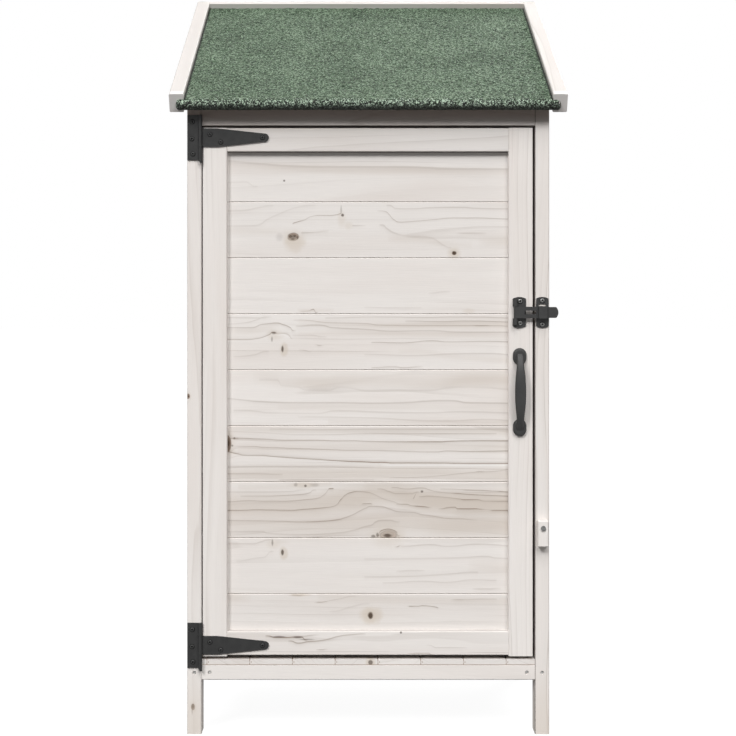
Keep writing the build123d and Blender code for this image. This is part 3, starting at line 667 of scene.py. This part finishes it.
# Soft dark bands, in the same order
PANEL_BANDS = (
    (8.9, -273,1121,10, 139,-10,30, 142,-5,34, 78,1,40, 73,-2,30, 117,-1,16),
    (9.9, -273,989,20, 64,-2,24, 45,0,10),
    (13.8, 220,969,10, 30,0,34, 26,0,40),
    (7.1, 43,973,14, 49,-1,24, 50,-8,24, 59,-4,14),
    (5.1, -136,831,20, 15,0,36, 22,1,24, 28,0,14),
    (7.9, -134,809,14, 88,-5,30, 109,-2,40, 118,2,45, 93,-1,45),
    (8.9, -274,791,20, 45,1,30, 32,5,26, 19,5,10),
    (6.7, -134,786,14, 98,1,26, 138,-2,30, 172,-4,24),
    (7.9, 63,752,10, 118,-13,20, 93,-6,34),
    (14.8, -223,697,10, 69,-7,34, 55,0,55, 63,4,45, 89,-1,30, 69,-4,36, 75,5,60, 77,1,55),
    (7.9, -174,641,10, 138,-2,20, 158,1,20, 152,-2,24),
    (7.9, -75,612,20, 138,-2,26, 138,0,30, 73,0,30),
    (9.9, -274,596,20, 120,1,30, 138,-2,34, 138,0,40, 152,-3,40),
    (11.8, -253,559,16, 158,2,24, 158,3,34, 118,-2,36, 93,0,50),
    (18.7, -274,509,45, 140,0,60, 118,1,60, 138,3,60, 79,-5,50, 73,0,60),
    (9.9, -253,482,30, 99,2,34, 79,5,34),
    (31.5, -274,449,60, 140,-2,70, 59,8,80, 59,6,90, 49,10,80, 40,-6,90, 69,-10,100, 134,-6,100),
    (25.6, -274,407,40, 140,-2,50, 98,4,60, 99,6,60, 98,-7,80, 115,0,85),
    (5.9, -186,376,10, 14,0,30, 18,0,10),
    (17.7, 201,327,10, 39,-4,24, 36,-2,28),
    (9.9, -274,266,50, 17,-1,40, 24,-1,10),
    (9.9, -95,267,20, 99,-3,34, 98,-3,34, 118,-1,34, 56,0,40),
)
# Painted highlights: pale lines along the grain, in the same order
PANEL_GLINTS = (
    (2.2, 29,527,40, 24,0,85, 69,0,80, 151,0,85),
    (1.7, -180,783,30, 12,1,80, 14,-5,50),
    (1.7, -172,777,10, 12,1,50, 6,-4,10),
)
# The door's bottom rail
RAIL_LINES = (
    (1.6, -198,193,50, 18,-3,80, 20,0,85, 18,1,85, 11,0,80, 9,-6,50),
    (1.2, -131,192,20, 17,2,35, 15,1,10),
    (1.8, -153,183,40, 16,-4,60, 20,3,60, 18,1,50, 18,3,45, 27,7,40, 27,3,34, 18,1,20),
    (1.2, -99,166,20, 8,0,40, 8,1,20),
    (1.3, 80,158,20, 18,1,40, 20,0,40, 9,-3,20),
    (1.2, 118,175,10, 18,-5,22, 54,0,10),
)
RAIL_SPOTS = (
    (64.1, 199.4, 2, 2, 0.75, 0.8), (-177, 191.2, 15, 1.5, 0.65, 0.9),
    (-138, 190.6, 9, 2.2, 0.65, 0.9), (-120, 186, 14, 1.4, 0.45, 1),
)
POST_SPOTS = ((55, -344, 4.5, 2.2, 0.70, 0.9), (46, -345.5, 9, 1.2, 0.45, 1.0))
POST_KNOTS = ((53.4, -344, 6, 3.6, 0.9, None), (663.1, -353.8, 5, 3.4, 0.9, None))

# The sawn ends of the floor boards, in millimetres or in shares of their thickness
FLOOR_BOARDS = (19.0 * MM, 84.0 * MM)
FLOOR_KNOT = 4.5
FLOOR_KNOT_SIZE = (8.0, 0.75)
TONGUE_REACH = 3.2
TONGUE_LOW = (0.30, 0.38)
TONGUE_HIGH = (0.72, 0.64)
END_DEPTH = (0.020, 0.018)


def floor_ends(axes, colour):
    """The sawn ends of the floor boards: tongue and groove lines, a knot, and the joint under them as a dark
    line that is partly painted shadow.
    """
    x, y, z = axes
    up = (z - FLOOR_LOW) / (FLOOR_HIGH - FLOOR_LOW)
    tongue = up.smooth(*TONGUE_LOW) * up.smooth(*TONGUE_HIGH)
    off = from_joint(x, FLOOR_BOARDS) - tongue * (TONGUE_REACH * MM)
    line = off.calc("ABSOLUTE").smooth(0.85 * MM, 0.4 * MM)
    # the dark line along the bottom edge is partly painted shadow of the joint on the sill
    under = z.smooth(FLOOR_LOW + 1.6 * MM, FLOOR_LOW + 0.4 * MM)
    front = y.smooth(*[FRONT + depth for depth in END_DEPTH])
    wide, high = FLOOR_KNOT_SIZE
    d = root_of_squares((x - FLOOR_KNOT * MM) / (wide * MM), (up - 0.45) / high)
    colour = blend(d.smooth(1.6, 0.6) * front * 0.7, colour, KNOT_BEIGE)
    colour = blend(d.smooth(0.70, 0.40) * front * 0.75, colour, KNOT_DARK)
    return blend(line.calc("MAXIMUM", under) * front * 0.7, colour, KNOT_BROWN)


def tint(axis, start, full, share, shade):
    """A shade that grows along an axis."""
    return lambda axes, colour: blend(axes[axis].smooth(start, full) * share, colour, shade)


def painted_shade(axis, place, shade_start, full, share, depth=8.0, shade=WOOD_PAINTED_SHADE):
    """Painted shade along an edge near the front, from where it starts to where it is full."""

    def draw(axes, colour):
        front = axes[Y].smooth(FRONT + depth * MM, FRONT + depth * MM / 2)
        dirt_and_painted_shade = (axes[axis] - place).smooth(shade_start * MM, full * MM)
        return blend(dirt_and_painted_shade * front * share, colour, shade)

    return draw


# Posts are warmer towards the ground, and the battens' sawn ends are lightened with a painted highlight
FOOT_STAIN = tint(Z, 0.150, 0.0, 0.45, WOOD_FOOT)
BATTEN_END_PAINTED_LIGHT = tint(Y, ROOF_FRONT + 0.020, ROOF_FRONT + 0.012, 0.6, WOOD_GLINT)
# Painted shadow of the roof's front edge on the header and the front posts' tops
ROOF_SHADE = painted_shade(Z, HEADER_LOW, -6.0, 24.0, 0.65, shade=WOOD_SHADED)
THROUGH_DOOR = 60.0

# The panel gets a painted shadow just under its top rail
pine("door_panel", GRAIN_X, 1, boards=PANEL_BOARDS, rows=PANEL_ROWS, knots=PANEL_KNOTS, beige=PANEL_BEIGE,
     brown=PANEL_BROWN, lines=PANEL_LINES, bands=PANEL_BANDS, glints=PANEL_GLINTS, seam=0.22,
     extras=[painted_shade(Z, RAIL_LOW, -2.4, -0.8, 0.80, depth=THROUGH_DOOR)])
# The top rail gets painted shade on its underside and along its top edge at the gap over the door; its lower
# level is painted shade of the roof
pine("door_rail_top", GRAIN_X, 2, contrast=0.45, tone=0.9, pith=(-30, 45), level=0.92,
     extras=[painted_shade(Z, RAIL_LOW, 0.25, 0.05, 0.9), painted_shade(Z, RAIL_HIGH, -1.3, -0.5, 0.9)])
# The ledge on top of the bottom rail is darkened as painted shade
pine("door_rail_bottom", GRAIN_X, 3, contrast=0.45, tone=0.6, pith=(20, 50), level=0.98, lines=RAIL_LINES,
     brown=RAIL_SPOTS, extras=[painted_shade(Z, LEDGE, -0.8, -0.1, 0.34, depth=THROUGH_DOOR)])
pine("door_stile_left", GRAIN_Z, 4, contrast=0.45, tone=0.6, pith=(30, 60))
# The right stile gets painted shadow along the gap to the right post
pine("door_stile_right", GRAIN_Z, 5, contrast=0.45, tone=0.5, pith=(-40, 50),
     extras=[painted_shade(X, STILE_SIDE, -1.1, -0.4, 0.9)])
# The left post gets the roof's painted shadow at its top
pine("post_front_left", GRAIN_Z, 6, tone=0.6, pith=(40, 70), knots=POST_KNOTS, brown=POST_SPOTS,
     extras=[FOOT_STAIN, ROOF_SHADE])
# The right post gets painted shadow along the door gap, and the roof's painted shadow at its top
pine("post_front_right", GRAIN_Z, 7, contrast=0.4, tone=0.4, pith=(-35, 60), level=0.985,
     extras=[FOOT_STAIN, ROOF_SHADE, painted_shade(X, POST_SIDE, 1.1, 0.4, 0.9)])
pine("post_back_left", GRAIN_Z, 8, pith=(30, 40), extras=[FOOT_STAIN])
pine("post_back_right", GRAIN_Z, 9, pith=(-30, 50), extras=[FOOT_STAIN])
# The header gets the roof's painted shadow, painted shade along the gap over the door, and a lower level that
# is painted shade too
pine("front_header", GRAIN_X, 10, contrast=0.4, tone=1.0, level=0.9,
     extras=[ROOF_SHADE, painted_shade(Z, HEADER_LOW, 1.7, 0.6, 0.95)])
pine("back_header", GRAIN_X, 11)
pine("front_sill", GRAIN_X, 12, contrast=0.25, tone=0.3, pith=(10, 80))
pine("back_sill", GRAIN_X, 13, contrast=0.4)
WALL = {"contrast": 0.55, "boards": PANEL_BOARDS, "seam": 0.6, "scatter": True}
for seed, batten_seed, side in ((0, 28, "left"), (1, 19, "right")):
    pine(f"side_sill_{side}", GRAIN_Y, 14 + seed, contrast=0.4)
    pine(f"top_rail_{side}", GRAIN_SLOPE, 16 + seed, contrast=0.4)
    pine(f"roof_batten_{side}", GRAIN_SLOPE, batten_seed, contrast=0.3, tone=0.3, level=0.835,
         extras=[BATTEN_END_PAINTED_LIGHT])
    pine(f"{side}_wall", GRAIN_Y, 24 + seed, **WALL)
pine("roof_back_board", GRAIN_ROOF, 20, contrast=0.4, level=0.90)
pine("roof_front_lath", GRAIN_ROOF, 21, contrast=0.4)
pine("turn_button", GRAIN_Z, 22, contrast=0.3, tone=0.4)
pine("floor", GRAIN_FLOOR, 23, boards=FLOOR_BOARDS, seam=0.5, extras=[floor_ends])
pine("back_wall", GRAIN_X, 26, **WALL)
pine("roof_board", GRAIN_ROOF, 27, boards=(600.0 * MM, 120.0 * MM), seam=0.8, scatter=True)


def iron_material(name, colour, worn, specular=0.32):
    """Anthracite powder coat: satin, with a fine orange peel."""

    def look(place):
        peel = noise(place, 900.0, 2.0)
        cloud = noise(place, 60.0, 3.0, 0.6)
        grit = noise(place, 2600.0)
        shade = blend((cloud - 0.35) * 1.6, colour, worn)
        return shade, (cloud - 0.5) * 0.3 + 0.46, peel + grit * 0.35, 0.22 * MM, 0.7

    return new_material(name, look, specular)


def steel_material(name, colour, scratched, rough):
    """Zinc plated steel with fine scratches."""

    def look(place):
        fine = noise(place, 1400.0, 2.0)
        shade = blend(noise(place, 300.0, 2.0).smooth(0.35, 0.7), colour, scratched)
        return shade, (fine - 0.5) * 0.3 + rough, fine, 0.1 * MM, 0.6

    return new_material(name, look, specular=0.5, metallic=0.75)


# Felt: granules, clumps and clouds to a metre, and the reach of the painted shade along the battens
COARSE_GRAINS = 480.0
FINE_GRAINS = 900.0
FELT_CLUMPS = 230.0
FELT_CLOUDS = 9.0
FELT_TATTERS = 240.0
FELT_BATTEN_SHADE = (5.2 * MM, 2.6 * MM)


def felt_grains(place):
    """Crushed slate granules, each with its own tone: three chances of each, the colour, rough and height."""
    grains = []
    for scale in (COARSE_GRAINS, FINE_GRAINS):
        node = cells(place, scale)
        grains.append((*parts(node.outputs["Color"]), Field(node.outputs["Distance"])))
    coarse, fine = grains
    clump = noise(place, FELT_CLUMPS, 2.0, 0.6)
    broad = noise(place, FELT_CLOUDS, 3.0, 0.6)
    tone = coarse[0] * 0.90 + fine[1] * 0.30 + (clump - 0.5) * 1.2 + (broad - 0.5) * 0.40
    colour = blend(tone.smooth(0.60, 0.14), FELT_MIDDLE, FELT_DARK)
    colour = blend(tone.smooth(0.58, 1.04), colour, FELT_LIGHT)
    colour = blend(fine[2].smooth(0.93, 0.99) * 0.5, colour, FELT_WARM)
    height = coarse[3] * -1.0 + fine[3] * -0.5 + coarse[2] * 0.5
    return coarse, colour, coarse[1] * 0.25 + 0.62, height


def felt_look(place):
    """Mineral felt, with painted shade where it meets the battens."""
    _, colour, rough, height = felt_grains(place)
    # painted shade where the felt meets the battens
    joint = place[X].calc("ABSOLUTE").smooth(*[BATTEN_INNER - reach for reach in FELT_BATTEN_SHADE])
    return blend(joint * 0.9, colour, BITUMEN_AND_PAINTED_SHADE), rough, height, 1.2 * MM, 0.8


def felt_edge_look(place):
    """The felt where it is bent over the front edge: bitumen between the granules, painted shade towards its
    lower edge, and flecks on top that are partly painted highlight.
    """
    coarse, colour, rough, height = felt_grains(place)
    stand = (place[Y] - ROOF_FRONT) * -SLOPE_SIN + (place[Z] - ROOF_FRONT_HEIGHT) * SLOPE_COS
    tatter = noise(place, FELT_TATTERS, 3.0, 0.7) - 0.5
    # painted shade towards the lower edge of the roll, and flecks gathered on the crest as partly painted
    # highlight
    painted_lower_shade = (stand + tatter * 0.020).smooth(-0.011, -0.024)
    colour = blend(painted_lower_shade * 0.90 + coarse[1].smooth(0.26, 0.36) * 0.90, colour, BITUMEN_AND_PAINTED_SHADE)
    crest_highlight = (stand + tatter * 0.010).smooth(-0.024, -0.014)
    flecks = coarse[2].smooth(0.66, 0.72) * (crest_highlight * 0.86 + 0.14)
    return blend(flecks * 0.9, colour, FELT_FLECK), rough, height, 1.4 * MM, 1.0


IRON_MATERIAL = iron_material("iron_powder_coat", IRON, IRON_WORN)
HINGE_MATERIAL = iron_material("iron_powder_coat_hinge", HINGE_IRON, HINGE_WORN)
IRON_PAINTED_SHADOW = iron_material("iron_painted_hole_shadow", PAINTED_HOLE_SHADOW, PAINTED_HOLE_SHADOW, specular=0.05)
SCREW_STEEL = steel_material("screw_zinc", STEEL, STEEL_SCRATCHED, 0.42)
SUNK_STEEL = steel_material("screw_zinc_bright", STEEL_BRIGHT, STEEL_BRIGHT_SCRATCHED, 0.5)
FELT = new_material("mineral_felt", felt_look, specular=0.25)
FELT_EDGE = new_material("mineral_felt_edge", felt_edge_look, specular=0.25)

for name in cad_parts:
    if name.startswith("hinge_"):
        dress(name, HINGE_MATERIAL)
    elif name.startswith(("latch_", "door_handle")):
        dress(name, IRON_MATERIAL)
    elif name == "turn_button_screw":
        dress(name, SCREW_STEEL)


def new_object(name, data):
    made = bpy.data.objects.new(name, data)
    bpy.context.scene.collection.objects.link(made)
    return made


def place_piece(name, mesh, materials, body):
    """Puts a mesh in the scene as a piece that rides on a body."""
    for material in materials:
        mesh.materials.append(material)
    piece = new_object(name, mesh)
    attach(piece, body)
    return piece


SCREW_SIDES = 36
# Shares of a screw head's radius and height, from the ring round its hole, which carries painted shadow, to its
# top
SCREW_PROFILE = ((1.22, -0.25), (1.22, 0.06), (1.0, 0.06), (1.0, 0.34), (0.95, 0.58), (0.84, 0.80),
                 (0.66, 0.97))
HOLE_EDGE_ROWS = 2
CROSS_ARM = 0.17
CROSS_REACH = 0.58
CROSS_TAPER = 0.6
CROSS_FLOOR = 0.25


def turned(u, v, angle):
    return u * math.cos(angle) - v * math.sin(angle), u * math.sin(angle) + v * math.cos(angle)


def around(ring):
    """Each item of a closed ring with the one after it."""
    return zip(ring, ring[1:] + ring[:1])


def screw(name, x, z, face, kind, body, turn):
    """A pan head screw with a cross recess, its axis along Y. Millimetres, face in metres."""
    radius, height, material, shade, slot = kind
    bm = bmesh.new()
    steps = [2 * math.pi * side / SCREW_SIDES for side in range(SCREW_SIDES)]
    rows = [[bm.verts.new((share * math.cos(step), share * math.sin(step), rise)) for step in steps]
            for share, rise in SCREW_PROFILE]
    # the ring round the head and the cross recess take the second material, painted shadow for the dark kinds
    for number, (low, high) in enumerate(zip(rows, rows[1:])):
        for (a, b), (d, c) in zip(around(low), around(high)):
            made = bm.faces.new((a, b, c, d))
            made.smooth = number > HOLE_EDGE_ROWS
            made.material_index = 1 if number < HOLE_EDGE_ROWS else 0
    bm.faces.new(list(reversed(rows[0])))
    arm = ((CROSS_REACH, -CROSS_ARM), (CROSS_REACH, CROSS_ARM), (CROSS_ARM, CROSS_ARM))
    corners = [turned(u, v, math.pi / 2 * quarter) for quarter in range(4) for u, v in arm]
    top = [bm.verts.new((px, py, 1.0)) for px, py in corners]
    deep = [bm.verts.new((px * CROSS_TAPER, py * CROSS_TAPER, CROSS_FLOOR)) for px, py in corners]
    outline = [bm.edges.get(pair) or bm.edges.new(pair) for ring in (rows[-1], top) for pair in around(ring)]
    filled = bmesh.ops.triangle_fill(bm, edges=outline, use_beauty=True)
    for item in filled["geom"]:
        if isinstance(item, bmesh.types.BMFace):
            item.smooth = True
    for (a, b), (d, c) in zip(around(top), around(deep)):
        bm.faces.new((a, b, c, d)).material_index = 1
    bm.faces.new(deep).material_index = 1
    scale = Matrix.Diagonal((radius * MM, radius * MM, height * MM, 1.0))
    stand = Matrix.Rotation(math.radians(90), 4, "X")
    place = Matrix.Translation((x * MM, face, z * MM))
    bm.transform(place @ stand @ Matrix.Rotation(math.radians(turn), 4, "Z") @ scale)
    bmesh.ops.recalc_face_normals(bm, faces=bm.faces)
    mesh = bpy.data.meshes.new(name)
    bm.to_mesh(mesh)
    bm.free()
    place_piece(name, mesh, (material, shade), body)


def screws(label, kind, body, places, first_turn, step):
    """A row of screws. A place is x and z in millimetres and the face that the screw stands on."""
    for number, (x, z, face) in enumerate(places):
        screw(f"{label}_{number}", x, z, face, kind, body, first_turn + step * number)


# Kinds of screw: radius and height of the head, material, material of the recess and of the ring round the head
# (painted shadow for the dark kinds) and slot
HINGE_SCREW = (4.1, 1.8, IRON_MATERIAL, IRON_PAINTED_SHADOW, "dark_ironwork")
LATCH_SCREW = (4.4, 1.9, SCREW_STEEL, IRON_PAINTED_SHADOW, "screw_steel")
SUNK_SCREW = (3.0, 1.7, SUNK_STEEL, SUNK_STEEL, "screw_steel")
PLATE_FACE = FRONT - 2.5 * MM
LATCH_FACE = FRONT - 2.0 * MM
STRAP_SCREWS = ((-310.4, 6.0), (-289.4, -9.0), (-207.5, 0.0))
PLATE_SCREWS = ((-345.0, 31.0), (-345.7, -2.4), (-343.9, -32.5))
LATCH_X, KEEPER_X = 298.2, 341.6
# The heads of the sunk screws stand on the floor of their holes
SUNK_HEIGHT = 120.75
SUNK_DEPTH = 3.7 * MM
SUNK_PLACES = ((-341.5, FRONT), (341.5, FRONT), (-311.5, SILL_FACE), (311.5, SILL_FACE))

for label, height in (("top", 1171.0), ("bottom", 175.0)):
    for leaf, body, offsets, first_turn, step in (
        ("strap", "door", STRAP_SCREWS, 20, 31),
        ("plate", "frame", PLATE_SCREWS, 40, 23),
    ):
        places = [(x, height + dz, PLATE_FACE) for x, dz in offsets]
        screws(f"{leaf}_screw_{label}", HINGE_SCREW, body, places, first_turn, step)
screws("latch_screw", LATCH_SCREW, "door", [(LATCH_X, z, LATCH_FACE) for z in (850.0, 806.8)], 12, 40)
screws("keeper_screw", LATCH_SCREW, "frame", [(KEEPER_X, z, LATCH_FACE) for z in (851.3, 804.3)], 33, 25)
screws("frame_screw", SUNK_SCREW, "frame",
       [(x, SUNK_HEIGHT, face + SUNK_DEPTH) for x, face in SUNK_PLACES], 15, 29)


# Felt: a displaced sheet between the battens and a rolled front edge. Metres.
random = np.random.default_rng(7)
SHEET_CELL = 0.0024
SHEET_RELIEF = 0.00042
SHEET_SINK = 0.0004
SHEET_LIMITS = (-0.0016, 0.0008)
NOSE_MIDDLE = -0.0220
NOSE_RADIUS = 0.0116
NOSE_ROWS = 36
ROLL_HALF = 0.374
ROLL_CELL = 0.0012
ROLL_TOP_START = 0.004
ROLL_UNDER = np.linspace(0.0012, 0.016, 12)
ROLL_GRAINS = 0.00055
ROLL_LUMPS = 0.00045
ROLL_SINK = 0.0010
ROLL_LIMITS = (-0.0022, 0.0)
# The relief fades where the roll faces down and where it starts on the sheet
UNDER_NORMAL = -0.75
FADED_RELIEF = 0.2
UNDER_SINK = 0.0015
ROLL_END = 0.006
ROLL_END_ROUND = 0.7


def granules(rows, columns, blur):
    """Random heights about zero, smoothed a little between neighbours."""
    heights = random.normal(size=(rows, columns))
    for _ in range(blur):
        for axis in (0, 1):
            heights = (np.roll(heights, 1, axis) + 2 * heights + np.roll(heights, -1, axis)) / 4
    return heights / heights.std()


def grid_faces(grid):
    """The faces between the rows and columns of a grid of vertex numbers."""
    corners = grid[:-1, :-1], grid[:-1, 1:], grid[1:, 1:], grid[1:, :-1]
    return np.stack(corners, axis=-1).reshape(-1, 4).tolist()


def roof_point(x, u, w):
    """Arrays of places on the roof: u runs up the slope and w stands square to it."""
    x, u, w = np.broadcast_arrays(x, u, w)
    y = ROOF_FRONT + u * SLOPE_COS - w * SLOPE_SIN
    z = ROOF_FRONT_HEIGHT + u * SLOPE_SIN + w * SLOPE_COS
    return np.stack((x, y, z), axis=-1).reshape(-1, 3)


def felt_piece(name, points, faces, material):
    mesh = bpy.data.meshes.new(name)
    mesh.from_pydata(points.tolist(), [], [list(map(int, face)) for face in faces])
    mesh.polygons.foreach_set("use_smooth", [True] * len(mesh.polygons))
    mesh.validate()
    mesh.update()
    return place_piece(name, mesh, (material,), "frame")


def felt_sheet():
    """The felt between the battens: a relief of granules on top, and a flat underside."""
    columns = int(2 * BATTEN_INNER / SHEET_CELL)
    rows = int(FELT_END / SHEET_CELL)
    x = np.linspace(-BATTEN_INNER, BATTEN_INNER, columns)
    u = np.linspace(0.0, FELT_END, rows)[:, None]
    relief = np.clip(SHEET_RELIEF * granules(rows, columns, 1) - SHEET_SINK, *SHEET_LIMITS)
    top = roof_point(x, u, FELT_TOP + relief)
    under = roof_point(x, u, BOARD_TOP)
    grid = np.arange(rows * columns).reshape(rows, columns)
    border = np.r_[grid[0], grid[1:, -1], grid[-1, -2::-1], grid[-2:0:-1, 0]]
    below = list(range(len(top), len(top) + len(border)))
    faces = grid_faces(grid)
    for (a, b), (d, c) in zip(around(border.tolist()), around(below)):
        faces.append([a, d, c, b])
    return felt_piece("felt_sheet", np.vstack((top, under[border])), [*faces, below], FELT)


def felt_roll():
    """The felt rolled over the front edge, closed towards the lath behind it."""
    columns = int(2 * ROLL_HALF / ROLL_CELL)
    x = np.linspace(-ROLL_HALF, ROLL_HALF, columns)
    angles = np.linspace(math.pi / 2, 3 * math.pi / 2, NOSE_ROWS)
    flat = np.zeros(len(ROLL_UNDER))
    normal_u = np.r_[0.0, np.cos(angles), flat]
    normal_w = np.r_[1.0, np.sin(angles), flat - 1.0]
    u = np.r_[ROLL_TOP_START, NOSE_RADIUS * np.cos(angles), ROLL_UNDER]
    w = NOSE_MIDDLE + NOSE_RADIUS * normal_w
    w[0] = FELT_TOP
    closing = np.array([[ROLL_UNDER[-1], BOARD_UNDER], [0.0, BOARD_UNDER], [0.0, BOARD_TOP - 0.002],
                        [ROLL_TOP_START, BOARD_TOP]])
    rows = len(u)
    relief = ROLL_GRAINS * granules(rows, columns, 1) - ROLL_SINK
    relief += ROLL_LUMPS * granules(rows, columns, 5)
    relief = np.clip(relief, *ROLL_LIMITS)
    under = normal_w < UNDER_NORMAL
    relief[under] = relief[under] * FADED_RELIEF - UNDER_SINK
    relief[0] *= FADED_RELIEF
    grid_u = u[:, None] + normal_u[:, None] * relief
    grid_w = w[:, None] + normal_w[:, None] * relief
    inside = np.clip((ROLL_HALF - np.abs(x)) / ROLL_END, 0, 1)
    share = np.sqrt(np.clip(1 - (1 - inside) ** 2 * ROLL_END_ROUND, 0, 1))[None, :]
    grid_u *= np.where(grid_u < 0, share, 1)
    all_u = np.vstack((grid_u, np.repeat(closing[:, :1], columns, axis=1)))
    all_w = np.vstack((grid_w, np.repeat(closing[:, 1:], columns, axis=1)))
    all_w = NOSE_MIDDLE + (all_w - NOSE_MIDDLE) * share
    grid = np.arange(all_u.size).reshape(all_u.shape)
    faces = grid_faces(np.vstack((grid, grid[:1]))) + [grid[:, 0], grid[::-1, -1]]
    return felt_piece("felt_roll", roof_point(x, all_u, all_w), faces, FELT_EDGE)


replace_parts(felt_sheet(), "roof_felt")
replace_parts(felt_roll(), "roof_felt")


# Studio: a pale floor, soft suns and a pale surround. A sun's row is the way to it, its strength and its
# spread in degrees.
SUNS = {
    "key_sun": ((-0.65, -1.0, 0.95), 2.02, 18.0),
    "fill_sun": ((0.50, -1.0, 1.00), 1.575, 30.0),
    "high_sun": ((0.0, -1.0, 2.1), 0.85, 16.0),
    "back_sun": ((0.40, 1.0, 0.60), 2.4, 25.0),
}
WORLD_LIGHT = 0.045
FLOOR_BOUNCE = (0.17, 0.17, 0.17)
FLOOR_WHITE = (0.90, 0.90, 0.90)
FLOOR_GLOW = 1.08
FLOOR_GLOW_SHARE = 0.88
FLOOR_HALF = 30.0

for name, (towards, strength, spread) in SUNS.items():
    light = bpy.data.lights.new(name, "SUN")
    light.energy = strength
    light.angle = math.radians(spread)
    new_object(name, light).rotation_euler = Vector(towards).to_track_quat("Z", "Y").to_euler()


def mixed(tree, factor, first, second):
    """A mix of two shaders: the first at factor 0, the second at factor 1."""
    return add(tree, "MixShader", (factor, first.outputs[0], second.outputs[0]))


def seen_directly(tree):
    """1 for rays of the camera, of gloss and through glass, 0 for the others."""
    rays = add(tree, "LightPath").outputs
    return combined(Field(rays[ray]) for ray in ("Is Camera Ray", "Is Glossy Ray", "Is Transmission Ray"))


def make_world():
    """Weak light from all around, which looks white."""
    world = bpy.data.worlds.new("studio")
    bpy.context.scene.world = world
    tree = fresh_tree(world)
    weak, white = (add(tree, "Background", {"Color": WHITE, "Strength": n}) for n in (WORLD_LIGHT, 1.0))
    add(tree, "OutputWorld", (mixed(tree, seen_directly(tree), weak, white).outputs[0],))


def make_floor():
    """A pale floor that renders white and keeps a faint shadow."""
    material = bpy.data.materials.new("studio_floor")
    tree = fresh_tree(material)
    glow = add(tree, "Emission", {"Color": WHITE, "Strength": FLOOR_GLOW})
    pale = mixed(tree, FLOOR_GLOW_SHARE, add(tree, "BsdfDiffuse", {"Color": FLOOR_WHITE}), glow)
    mix = mixed(tree, seen_directly(tree), add(tree, "BsdfDiffuse", {"Color": FLOOR_BOUNCE}), pale)
    add(tree, "OutputMaterial", (mix.outputs[0],))
    mesh = bpy.data.meshes.new("studio_floor")
    corners = [(FLOOR_HALF * x, FLOOR_HALF * y, 0) for x, y in ((-1, -1), (1, -1), (1, 1), (-1, 1))]
    mesh.from_pydata(corners, [], [(0, 1, 2, 3)])
    mesh.materials.append(material)
    floor = new_object("studio_floor", mesh)


make_world()
make_floor()

# The camera looks straight at the front; its shift moves the picture, not the view
camera_data = bpy.data.cameras.new("camera")
camera_data.lens = 74.5
camera_data.sensor_width = 36.0
camera_data.shift_x = 0.0163
camera_data.shift_y = -0.106
camera = new_object("camera", camera_data)
camera.location = (-0.024, FRONT - 2.990, 0.872)
camera.rotation_euler = (math.radians(90), 0.0, 0.0)
bpy.context.scene.camera = camera
bpy.context.scene.view_settings.view_transform = "Standard"
